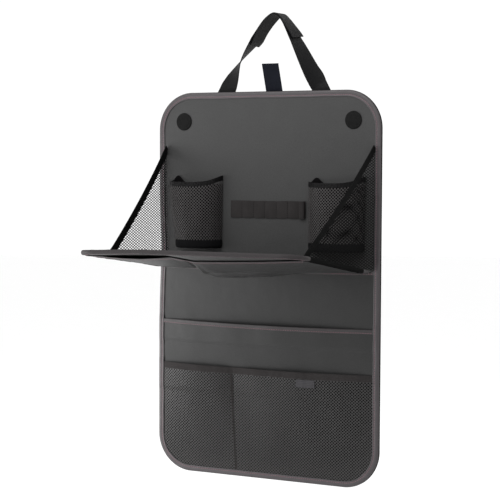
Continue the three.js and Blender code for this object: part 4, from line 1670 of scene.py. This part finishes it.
@dataclass
class Tray(SubAssembly):
    """The fold-down tray: covers, bound edge, slack pocket below and cloth hinge."""

    width: float = 400.0
    depth: float = TrayFrame.DEPTH
    corner: float = 36.0
    top: float = 0.5
    bottom: float = -4.5
    rear: float = 14.0
    # How far each black painted-shade tape reaches along the edge from its end.
    shade_tape_length: float = 236.0
    bare: tuple[float, float] = (4.0, 24.0)
    binding_front: float = -1.3
    binding_back: float = 5.3
    binding_roll: float = 2.4
    binding_flat: float = 28.0
    pocket_half: float = 188.9
    pocket_front: float = 252.0

    def _covers(self) -> None:
        """Makes the leather above and below the board."""
        inset = 1.25
        half = self.width / 2 - inset
        reach = self.depth - inset
        outline = Outline(half, -reach, -1.7, self.corner - inset)

        def upper(u: np.ndarray, v: np.ndarray) -> np.ndarray:
            """The top cover's face."""
            x, y = outline.rounded((2 * u - 1) * half, -reach + v * (reach - 1.7))
            return TrayFrame.place(x, -y, self.top - 0.12 * (1 + ripple(x, y, 80.0, 1.9)))

        def lower(u: np.ndarray, v: np.ndarray) -> np.ndarray:
            """The bottom cover's face, turned up at its rear end."""
            x, y = outline.rounded((2 * u - 1) * half, -self.rear - v * (reach - self.rear))
            curl = 1 - smooth(v, 0.0, 0.014)
            front = smooth(-y, 214.0, 248.0) * (1 - smooth(-y, 257.0, 283.0))
            slack = self._margin(x + TrayFrame.skew(-y)) * front
            return TrayFrame.place(x, -y - 1.2 * curl, self.bottom + 3.0 * curl - slack)

        top = self.bench.sheet("tray_top", (90, 66), (2 * half, reach), upper, 0.95)
        self.bench.hand_over(top, Body.TRAY, Finish.LEATHER, ["tray_top_cover"])
        cloth(top, (2 * half, reach), Held.STRETCHED, 0.99)
        low = self.bench.sheet("tray_underside", (110, 120), (2 * half, reach), lower, 0.95)
        self.bench.hand_over(low, Body.TRAY, Finish.LEATHER, ["tray_bottom_cover"])
        cloth(low, (2 * half, reach), Held.STRETCHED, 0.96)

        def board(u: np.ndarray, v: np.ndarray) -> np.ndarray:
            """The stiff board's upper face."""
            inner = Outline(half - 10.0, -reach + 10.0, -self.rear - 0.5, self.corner - 11.0)
            y = inner.foot + v * (inner.head - inner.foot)
            x, y = inner.rounded((2 * u - 1) * inner.half, y)
            return TrayFrame.place(x, -y, np.full(len(x), -0.8))

        stiff = self.bench.sheet("tray_stiffener", (50, 36), (2 * half, reach), board, 2.3)
        self.bench.hand_over(stiff, Body.TRAY, Finish.BOARD, ["tray_board"])

    @staticmethod
    def _margin(x: np.ndarray) -> np.ndarray:
        """How far the cover's margin, ahead of the pocket's mouth, hangs at each place."""
        places = [-38.0, -12.0, 9.0, 40.0, 70.0, 125.0, 172.0]
        return np.interp(x, places, [0.0, 3.2, 6.0, 5.2, 4.2, 2.2, 0.0])

    def _edge(self) -> None:
        """Makes the bound front edge with its stitches, and along each side a black tape that is
        painted shade.
        """
        outline = Outline(self.width / 2, -self.depth, -self.rear, self.corner, closed=False)
        tape = EdgeTape(outline, self.binding_front, self.binding_back, roll=self.binding_roll)
        length = outline.length
        middle, thick_half = (tape.front + tape.back) / 2, (tape.back - tape.front) / 2

        def span(start: float, end: float, grow: float) -> Mapping:
            """The binding's face from start to end along the edge, made a little larger by grow."""
            def where(u: np.ndarray, v: np.ndarray) -> np.ndarray:
                """The binding's face."""
                a, b, depth = tape.face(start + u * (end - start), v)
                depth = middle + (depth - middle) * (1 + grow / thick_half)
                return TrayFrame.place(a + np.sign(a) * grow, -b, -depth)
            return where

        # The black tapes along the sides are painted shade of the tray's shaded side edges.
        for name, start, end, grow, finish in (
            ("tray_edge", 0.5, length - 0.5, 0.0, Finish.TRAY_EDGE),
            ("tray_left_shade_tape", self.bare[0], self.shade_tape_length, 0.35, Finish.BACK_TAPE),
            ("tray_right_shade_tape", length - self.shade_tape_length, length - self.bare[1], 0.35,
             Finish.BACK_TAPE),
        ):
            cells = (round((end - start) / 4), tape.section_cells)
            size = (end - start, self.binding_flat)
            piece = self.bench.sheet(name, cells, size, span(start, end, grow), 0.8)
            self.bench.hand_over(piece, Body.TRAY, finish, ["tray_binding"], smooth_deg=60.0)
        for name, front, sign in (
            ("tray_stitches", True, 1.0),
            ("tray_lower_stitches", False, -1.0),
        ):
            middles, ahead = tape.seam_places(4.0, front, bare=self.shade_tape_length + 2.0)
            self.seam(
                name, Body.TRAY, Finish.THREAD,
                TrayFrame.place(middles[:, 0], -middles[:, 1], -middles[:, 2]),
                TrayFrame.place(ahead[:, 0], -ahead[:, 1], -ahead[:, 2]), sign * TrayFrame.up(),
            )

    def _pocket(self) -> None:
        """Makes the slack pocket under the tray, its mouth hanging open at the front."""
        half, front = self.pocket_half, self.pocket_front
        mouth_x = [-half, -165.0, -150.0, -120.0, -90.0, -60.0, -35.0, -10.0, 9.0, 40.0, 70.0,
                   125.0, 165.0, half]
        mouth_drop = [0.0, 0.8, 2.4, 4.2, 5.2, 3.8, 1.6, 4.8, 7.2, 6.4, 5.4, 3.4, 1.4, 0.0]
        belly_x = [-half, -150.0, -110.0, -65.0, -20.0, 9.0, 62.0, 142.0, half]
        small = [0.0, 4.2, 7.0, 9.0, 9.5, 9.5, 8.5, 4.5, 0.0]
        large = [0.0, 8.0, 13.0, 17.0, 19.5, 20.0, 17.0, 8.6, 0.0]

        def drop(x: np.ndarray, v: np.ndarray) -> np.ndarray:
            """How far the facing hangs, with one sharp fold left of its middle."""
            x = x + TrayFrame.skew(self.rear + v * (front - self.rear)) * crown(x / half)
            from_fold = x - (4.0 - 68.0 * (1 - v))
            past = smooth(from_fold, -10.0, 0.0)
            span = smooth(x, -24.0, -12.0) * (1 - smooth(x, 55.0, 100.0))
            roll = 3.6 * (1 - smooth(v, 0.54, 0.64)) * smooth(v, 0.05, 0.3)
            furrow = 2.2 * np.exp(-np.square((v - 0.645) / 0.022))
            belly = np.interp(x, belly_x, small) * (1 - past) + np.interp(x, belly_x, large) * past
            mouth = np.interp(x, mouth_x, mouth_drop) * v**5
            inner = np.sin(math.pi * np.clip(v, 0, 1)) ** 0.7
            folds = ripple(x, v * 90.0, 105.0, 0.35) + 0.45 * ripple(x, v * 160.0, 48.0, 1.2)
            crease = np.exp(-np.square((from_fold + 14.0) / 3.5))
            crease = crease - 0.6 * np.exp(-np.square(from_fold / 5.0))
            loose = 0.9 * folds - 2.0 * crease * smooth(v, 0.35, 0.7)
            hang = belly * np.sin(0.78 * math.pi * v) * (1 - v**5) + (roll - furrow) * span
            return 0.35 + hang + mouth + loose * inner * crown(x / half)

        def below(x: np.ndarray, v: np.ndarray, off: np.ndarray | float = 0.0) -> np.ndarray:
            """Places on the facing's lower face, or off below it."""
            d = self.rear + v * (front - self.rear)
            return TrayFrame.place(x, d, self.bottom - 0.8 - np.maximum(drop(x, v), 0.3) - off)

        def where(u: np.ndarray, v: np.ndarray) -> np.ndarray:
            """The facing's lower face."""
            return below((2 * u - 1) * half, v)

        size = (2 * half, front)
        piece = self.bench.sheet("tray_pocket_facing", (180, 120), size, where, 0.75)
        self.bench.hand_over(piece, Body.TRAY, Finish.FACING, ["tray_pocket"])
        cloth(piece, (2 * half, 245.0), Held.HUNG)
        hem_off = 0.62

        def hem(u: np.ndarray, v: np.ndarray) -> np.ndarray:
            """A narrow doubled hem along the mouth, on the lower face."""
            off = hem_off - 0.4 * np.square(2 * v - 1) ** 4
            return below((2 * u - 1) * (half - 1), 0.955 + 0.05 * v, off)

        strip = self.bench.sheet("tray_pocket_hem", (150, 8), (2 * half, 12.0), hem, 0.5)
        self.bench.hand_over(strip, Body.TRAY, Finish.HEM)
        x = np.arange(-half + 3, half - 3, 4.3)
        sewn = np.full(len(x), 0.97)
        self.seam("tray_pocket_stitches", Body.TRAY, Finish.THREAD, below(x, sewn, hem_off),
                  below(x + 0.5, sewn, hem_off), -TrayFrame.up())

    def _hinge(self) -> None:
        """Makes the cloth fold on which the tray turns."""
        half, bead, cloth_half = 194.1, 1.35, 0.42
        start = math.asin(cloth_half / bead)
        angle = np.linspace(start, 2 * math.pi - start, 22)
        bead_out = TrayFrame.HINGE_OUT - bead * np.cos(angle)
        out = np.concatenate([[0.3, 3.0, 6.0], bead_out, [6.0, 3.0, 0.3]])
        up = np.concatenate([[cloth_half] * 3, bead * np.sin(angle), [-cloth_half] * 3])
        stops = np.linspace(0.0, 1.0, len(out))

        def where(u: np.ndarray, v: np.ndarray) -> np.ndarray:
            """The fold's outer face, over its top, round the bead and back below."""
            x = (1 - 2 * u) * half
            return stack(x, -np.interp(v, stops, out), TrayFrame.HINGE_Z + np.interp(v, stops, up))

        piece = self.bench.sheet("hinge_fold", (120, 27), (2 * half, 26.0), where, 0.0)
        self.bench.edit(piece, lambda: (
            bpy.ops.mesh.region_to_loop(), bpy.ops.mesh.edge_face_add(),
            bpy.ops.mesh.select_all(action="SELECT"),
            bpy.ops.mesh.normals_make_consistent(inside=False),
        ))
        self.bench.hand_over(piece, Body.PANEL, Finish.LEATHER, ["tray_hinge_cloth"])

    def build(self) -> None:
        """Makes the tray and its hinge."""
        self._covers()
        self._edge()
        self._pocket()
        self._hinge()


@dataclass
class Gusset(SubAssembly):
    """A mesh triangle that holds the open tray, with tape along its free edge."""

    side: str = "left"
    sign: float = -1.0
    panel_x: float = 197.0
    lean: float = 23.0
    foot_z: float = 363.12
    toe: tuple[float, float] = (-220.0, 394.0)
    peak_z: float = 564.0
    tip: tuple[float, float] = (-4.55, 568.5)
    bow: float = 9.0
    tape: float = 14.0
    cell: tuple[float, float] = (11.0, 4.6)
    thread: tuple[float, float] = (1.2, 0.3)
    keep: float = 0.033
    net_size: tuple[float, float] = (224.0, 214.0)
    lean_reach: float = 206.8

    def _floor(self, y: np.ndarray) -> np.ndarray:
        """Height of the tray's top under each point."""
        return self.foot_z + (COVER_FACE - y) * math.tan(TrayFrame.TILT)

    def _edge(self, up: np.ndarray) -> tuple[np.ndarray, np.ndarray]:
        """The free edge, bowed in, as y and z at shares of its height."""
        y = self.toe[0] + (self.tip[0] - self.toe[0]) * up + self.bow * 4 * up * (1 - up)
        return y, self.toe[1] + (self.tip[1] - self.toe[1]) * up

    def _x(self, y: np.ndarray) -> np.ndarray:
        """Where the gusset stands across the panel, leaning in towards its toe."""
        inwards = self.lean * np.clip((COVER_FACE - y) / self.lean_reach, 0, 1)
        return self.sign * (self.panel_x - inwards)

    def _squash(self, piece: bpy.types.Object) -> None:
        """Gives a piece its own copy of its mesh."""
        anchor = self.bench.place(np.array([0.0, COVER_FACE, self.foot_z]))
        tuple(anchor)
        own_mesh(piece)

    def _net(self) -> None:
        """Makes the mesh."""
        foot = self.foot_z - 2

        def border(z: np.ndarray) -> np.ndarray:
            """The y of the tape's middle at each height."""
            up = np.linspace(0.0, 1.0, 101)
            y, height = self._edge(up)
            return np.interp(z, height, y + self.tape * 0.45)

        def inside(p: np.ndarray, q: np.ndarray) -> np.ndarray:
            """Cells whose middle is between the panel, the tray and the tape."""
            y, z = -p, foot + q
            return (y > border(z) - 1.0) & (z > self._floor(y) - 1.0) & (z < self.peak_z + 1)

        def where(p: np.ndarray, q: np.ndarray) -> np.ndarray:
            """The mesh's middle surface."""
            y, z = np.minimum(-p, COVER_FACE - 0.05), foot + q
            z = np.maximum(z, self._floor(y) + 0.1)
            away = np.minimum(smooth(-y, 0, 45), smooth(y - border(z), 0, 30))
            away = away * smooth(z - self._floor(y), 0, 40)
            billow = (0.8 + 0.6 * ripple(y, z, 110.0, 1.6 + self.sign)) * away
            return stack(self._x(y) - self.sign * billow, y, z)

        piece = self.bench.net(
            f"{self.side}_gusset_net", self.net_size, self.cell, self.thread, inside, where
        )
        self.bench.hand_over(piece, Body.PANEL, Finish.MESH, [f"{self.side}_gusset_mesh"])
        cloth(piece, (205.0, 200.0), Held.HUNG, 0.3)
        self._squash(piece)

    def _tape(self) -> None:
        """Makes the tape that binds the free edge."""
        up = np.linspace(0.0, 1.0, 101)
        y, z = self._edge(up)
        steps = np.concatenate([[0.0], np.cumsum(np.hypot(np.diff(y), np.diff(z)))])
        heading = unit(stack(np.gradient(y), np.gradient(z)))

        def where(u: np.ndarray, v: np.ndarray) -> np.ndarray:
            """The tape's middle surface."""
            share = np.interp(u * steps[-1], steps, up)
            at_y, at_z = np.interp(share, up, y), np.interp(share, up, z)
            in_y = np.interp(share, up, heading[:, 1])
            in_z = -np.interp(share, up, heading[:, 0])
            over = (1 - v) * self.tape
            place_y = np.minimum(at_y + in_y * over, COVER_FACE - 0.15)
            place_z = np.maximum(at_z + in_z * over, self._floor(place_y))
            return stack(self._x(place_y), place_y, place_z)

        piece = self.bench.sheet(
            f"{self.side}_gusset_edge", (90, 6), (steps[-1], self.tape), where, 1.5, offset=0.0
        )
        self.bench.soften(piece, 0.4)
        self.bench.hand_over(piece, Body.PANEL, Finish.ELASTIC, [f"{self.side}_gusset_tape"])
        cloth(piece, (steps[-1], self.tape * 1.2), Held.STRETCHED)
        self._squash(piece)

    def build(self) -> None:
        """Makes the mesh and the tape."""
        self._net()
        self._tape()


@dataclass
class HeadrestStrap(SubAssembly):
    """Two webbing straps that overlap at the peak, and the short tab between them."""

    width: float = 30.0
    webbing: float = 1.5
    sewn: float = 24.0
    peak: tuple[float, float] = (18.0, 790.0)
    feet: tuple[float, float] = (-81.0, 98.0)
    panel_top: float = 660.0
    centre_y: float = 8.0
    steps: int = 56
    right_end: float = 17.4
    left_end: float = 37.0
    dive: tuple[int, int] = (40, 50)
    tab_x: float = 10.5

    def _pressed(self, z: np.ndarray) -> np.ndarray:
        """How far the sewn feet are pressed towards the panel at each height."""
        return 1.4 * (1 - smooth(z, self.panel_top - 22, self.panel_top - 10))

    def _stations(self) -> np.ndarray:
        """Places where the strap bends: x, z and the turn of its width in degrees."""
        left, right, peak = self.feet[0], self.feet[1], self.peak[0]
        line = [
            (left, -0.135, -1.0, 0.0), (left, 0.043, 0.06, 0.0), (left, 0.125, 0.18, 19.0),
            (left, 0.293, 0.41, 63.0), (left, 0.576, 0.68, 103.0), (left, 0.848, 0.93, 106.0),
            (left, 1.0, 1.0, 96.0), (right, 0.838, 0.93, 94.0), (right, 0.575, 0.66, 108.0),
            (right, 0.25, 0.28, 138.0), (right, 0.132, 0.15, 165.0), (right, 0.053, 0.06, 180.0),
            (right, -0.163, -1.0, 180.0),
        ]
        rise = self.peak[1] - self.panel_top
        return np.array([
            (
                foot + (peak - foot) * inward,
                self.panel_top + r * (self.sewn if r < 0 else rise),
                turn,
            )
            for foot, inward, r, turn in line
        ])

    def _point(self, t: np.ndarray) -> np.ndarray:
        """The strap's line, a centripetal curve through the stations.

        Args:
            t: Shares of the line, from its left foot.

        Returns:
            Panel places.
        """
        points = self._stations()[:, :2]
        points = np.vstack([2 * points[0] - points[1], points, 2 * points[-1] - points[-2]])
        place = np.clip(t, 0, 1) * (len(points) - 3)
        k = np.minimum(place.astype(int), len(points) - 4)
        w = (place - k)[:, None]
        p0, p1, p2, p3 = (points[k + j] for j in range(4))
        spans = ((p0, p1), (p1, p2), (p2, p3))
        d0, d1, d2 = (np.sqrt(np.linalg.norm(b - a, axis=1))[:, None] for a, b in spans)
        t1 = ((p1 - p0) / d0 - (p2 - p0) / (d0 + d1) + (p2 - p1) / d1) * d1
        t2 = ((p2 - p1) / d1 - (p3 - p1) / (d1 + d2) + (p3 - p2) / d2) * d1
        second, third = 3 * (p2 - p1) - 2 * t1 - t2, 2 * (p1 - p2) + t1 + t2
        flat = p1 + t1 * w + second * w**2 + third * w**3
        return stack(flat[:, 0], np.full(len(t), self.centre_y), flat[:, 1])

    def _frames(self, t: np.ndarray) -> tuple[np.ndarray, np.ndarray, np.ndarray]:
        """The line's points, and the directions across the webbing and off its outer face."""
        turns = self._stations()[:, 2]
        turn = np.radians(np.interp(t * (len(turns) - 1), np.arange(len(turns)), turns))
        along = unit(self._point(t + 1e-4) - self._point(t - 1e-4))
        across = stack(np.cos(turn), -np.sin(turn), 0 * turn)
        across = unit(across - along * np.sum(across * along, axis=1, keepdims=True))
        return self._point(t), across, np.cross(across, along)

    def _strap(self, name: str, first: float, last: float, node: str) -> None:
        """Makes one strap of webbing.

        Args:
            name: The piece's name.
            first: The step of the line at which it starts.
            last: The step at which it ends.
            node: The CAD node that it stands for.
        """
        t = np.linspace(first / self.steps, last / self.steps, 241)
        points, across, outward = self._frames(t)
        under = -(self.webbing + 0.4) if node == "right_strap" else 0.0
        lift = under * (1 - smooth(t * self.steps, *self.dive))
        tip = 1 - smooth(np.abs(t * self.steps - (first if under else last)), 0.0, 3.4)
        lift = lift + (-1.3 if under else 1.3) * tip
        points = points - across * (3.6 * tip)[:, None]
        points = points + outward * lift[:, None]
        points[:, 1] -= self._pressed(points[:, 2])
        length = float(np.linalg.norm(np.diff(points, axis=0), axis=1).sum())

        def where(u: np.ndarray, v: np.ndarray) -> np.ndarray:
            """The webbing's middle surface, slightly cupped."""
            at = u * (len(t) - 1)
            k = np.minimum(at.astype(int), len(t) - 2)
            w = (at - k)[:, None]
            middle, side, out = (a[k] * (1 - w) + a[k + 1] * w for a in (points, across, outward))
            half = (v - 0.5)[:, None]
            cupped = 0.25 * (0.5 - 2 * half * half)
            return middle + unit(side) * half * self.width + unit(out) * cupped

        size = (length, self.width)
        piece = self.bench.sheet(name, (240, 12), size, where, self.webbing, offset=0.0)
        self.bench.soften(piece, 0.35)
        self.bench.hand_over(piece, Body.PANEL, Finish.WEBBING, [node])
        cloth(piece, (length, self.width), Held.HUNG)

    def _tab(self) -> None:
        """Makes the short tab between the strap's feet."""
        width, height, lean = 31.0, 71.0, -8.2

        def where(u: np.ndarray, v: np.ndarray) -> np.ndarray:
            """The tab's middle surface, leaning above the panel's edge."""
            z = self.panel_top - self.sewn + v * height
            tilt = lean * np.clip((z - self.panel_top) / 45.0, 0, 1)
            y = self.centre_y - self._pressed(z)
            return stack(self.tab_x + (0.5 - u) * width + tilt, y, z)

        piece = self.bench.sheet(
            "short_tab", (16, 40), (width, height), where, self.webbing, offset=0.0
        )
        self.bench.soften(piece, 0.35)
        self.bench.hand_over(piece, Body.PANEL, Finish.TAB_WEBBING, ["top_tab"])
        cloth(piece, (width, height), Held.HUNG)

    def _feet_stitches(self) -> None:
        """Sews each foot down with a box of stitches on the panel's back."""
        box_x, box_z = [], []
        for x, lean in ((self.feet[0], 0.547), (self.feet[1], -0.543), (self.tab_x, 0.0)):
            for side in np.arange(-11.0, 11.1, 3.6):
                for down in (21.0, 12.5):
                    box_x.append(x + side - lean * down)
                    box_z.append(self.panel_top - down)
        middles = stack(np.array(box_x), np.full(len(box_x), 7.3), np.array(box_z))
        self.seam("strap_stitches", Body.PANEL, Finish.DARK_THREAD, middles,
                  middles + np.array([1.0, 0.0, 0.0]), (0.0, 1.0, 0.0), (2.8, 0.7, 0.6))

    def build(self) -> None:
        """Makes the straps and the tab."""
        self._strap("left_webbing", 0, self.left_end, "left_strap")
        self._strap("right_webbing", self.right_end, self.steps, "right_strap")
        self._tab()
        self._feet_stitches()


@dataclass
class HiddenBoard(SubAssembly):
    """The stiff board inside the panel, whose CAD shape stays."""

    def build(self) -> None:
        """Gives the board its finish."""
        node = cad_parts["core_board"]
        node.data.materials.clear()
        node.data.materials.append(Finish.BOARD.material())
        LOG.info("core_board: CAD shape kept")


@dataclass
class Studio:
    """The camera of the photograph, soft light and a plain pale floor."""

    bench: Bench
    eye: tuple[float, float, float] = (1182.26, -2336.3, 529.81)
    azimuth: float = 27.43
    elevation: float = 3.02
    roll: float = 0.27
    focal_px: float = 1546.46
    image_px: float = 500.0
    sensor_mm: float = 36.0
    floor_z: float = -120.0

    def camera(self) -> None:
        """Sets the camera at the photograph's viewpoint."""
        a, e, r = (math.radians(x) for x in (self.azimuth, self.elevation, self.roll))
        back = Vector((math.sin(a) * math.cos(e), -math.cos(a) * math.cos(e), math.sin(e)))
        right = Vector((math.cos(a), math.sin(a), 0.0))
        up = back.cross(right)
        across = right * math.cos(r) + up * math.sin(r)
        upright = up * math.cos(r) - right * math.sin(r)
        bpy.ops.object.camera_add()
        camera = bpy.context.active_object
        camera.data.sensor_width = self.sensor_mm
        camera.data.lens = self.focal_px * self.sensor_mm / self.image_px
        camera.data.clip_end = 60.0
        turn = Matrix((across, upright, back)).transposed().to_4x4()
        eye = Vector(self.bench.place(np.array(self.eye)))
        camera.matrix_world = Matrix.Translation(eye) @ turn
        bpy.context.scene.camera = camera

    def _lamp(
        self, name: str, place: tuple[float, float, float], size: float, power: float
    ) -> None:
        """Hangs a square soft light that faces the panel's middle.

        Args:
            name: The light's name.
            place: Its panel place.
            size: Its side, in metres.
            power: In watts.
        """
        at = Vector(self.bench.place(np.array(place)))
        target = Vector(self.bench.place(np.array([0.0, 0.0, 360.0])))
        bpy.ops.object.light_add(type="AREA", location=at)
        lamp = bpy.context.active_object
        lamp.name = name
        lamp.data.shape = "SQUARE"
        lamp.data.size = size
        lamp.data.energy = power
        lamp.rotation_euler = (target - at).to_track_quat("-Z", "Y").to_euler()

    def lights(self) -> None:
        """Lights the object from the left, in a pale room."""
        world = bpy.data.worlds.new("pale_room")
        world.use_nodes = True
        background = world.node_tree.nodes["Background"]
        background.inputs["Color"].default_value = (1.0, 1.0, 1.0, 1.0)
        background.inputs["Strength"].default_value = 1.05
        bpy.context.scene.world = world
        bpy.context.scene.view_settings.view_transform = "Standard"
        self._lamp("side_light", (-800.0, -480.0, 200.0), 0.5, 8.0)
        self._lamp("top_light", (-150.0, -860.0, 1200.0), 0.8, 9.0)
        self._lamp("back_light", (900.0, 1300.0, 900.0), 1.0, 5.0)

    def floor(self) -> None:
        """Lays the pale floor below the hanging object."""
        bpy.ops.object.select_all(action="DESELECT")
        bpy.ops.mesh.primitive_circle_add(vertices=96, radius=9.0, fill_type="NGON")
        floor = bpy.context.active_object
        floor.name = "pale_floor"
        place = Vector(self.bench.place(np.array([0.0, 0.0, self.floor_z])))
        floor.data.transform(Matrix.Translation(place))
        recipe = Recipe("pale_floor")
        speckle = recipe.noise(60.0, 2.0)
        tone = recipe.mix(speckle, (0.93, 0.93, 0.93), (0.95, 0.95, 0.95))
        floor.data.materials.append(recipe.close(Base_Color=tone, Roughness=0.85))
        floor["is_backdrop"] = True


def corners(box: tuple[Vector, Vector]) -> list[list[float]]:
    """A box's corners as plain numbers."""
    return [[float(value) for value in corner] for corner in box]


def main() -> None:
    """Builds the scene in order and reports each piece."""
    logging.basicConfig(level=logging.INFO, format="%(name)s: %(message)s")
    cad_box = corners(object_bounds())
    bench = Bench()
    studio = Studio(bench)
    studio.camera()
    studio.lights()
    studio.floor()
    assemblies: list[SubAssembly] = [
        Panel(bench),
        FlatPockets(bench),
        CupPocket(bench, "left", -1.0),
        CupPocket(bench, "right", 1.0, middle_x=132.0, drift=0.0, lens=12.0),
        PenLoop(bench),
        Dots(bench),
        Tray(bench),
        Gusset(bench, "left", -1.0, panel_x=194.0, lean=20.0),
        Gusset(bench, "right", 1.0, panel_x=199.0, lean=25.0, tape=10.5),
        HeadrestStrap(bench),
        HiddenBoard(bench),
    ]
    for assembly in assemblies:
        assembly.build()
    {"cad": cad_box, "visual": corners(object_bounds())}


if __name__ == "__main__":
    main()
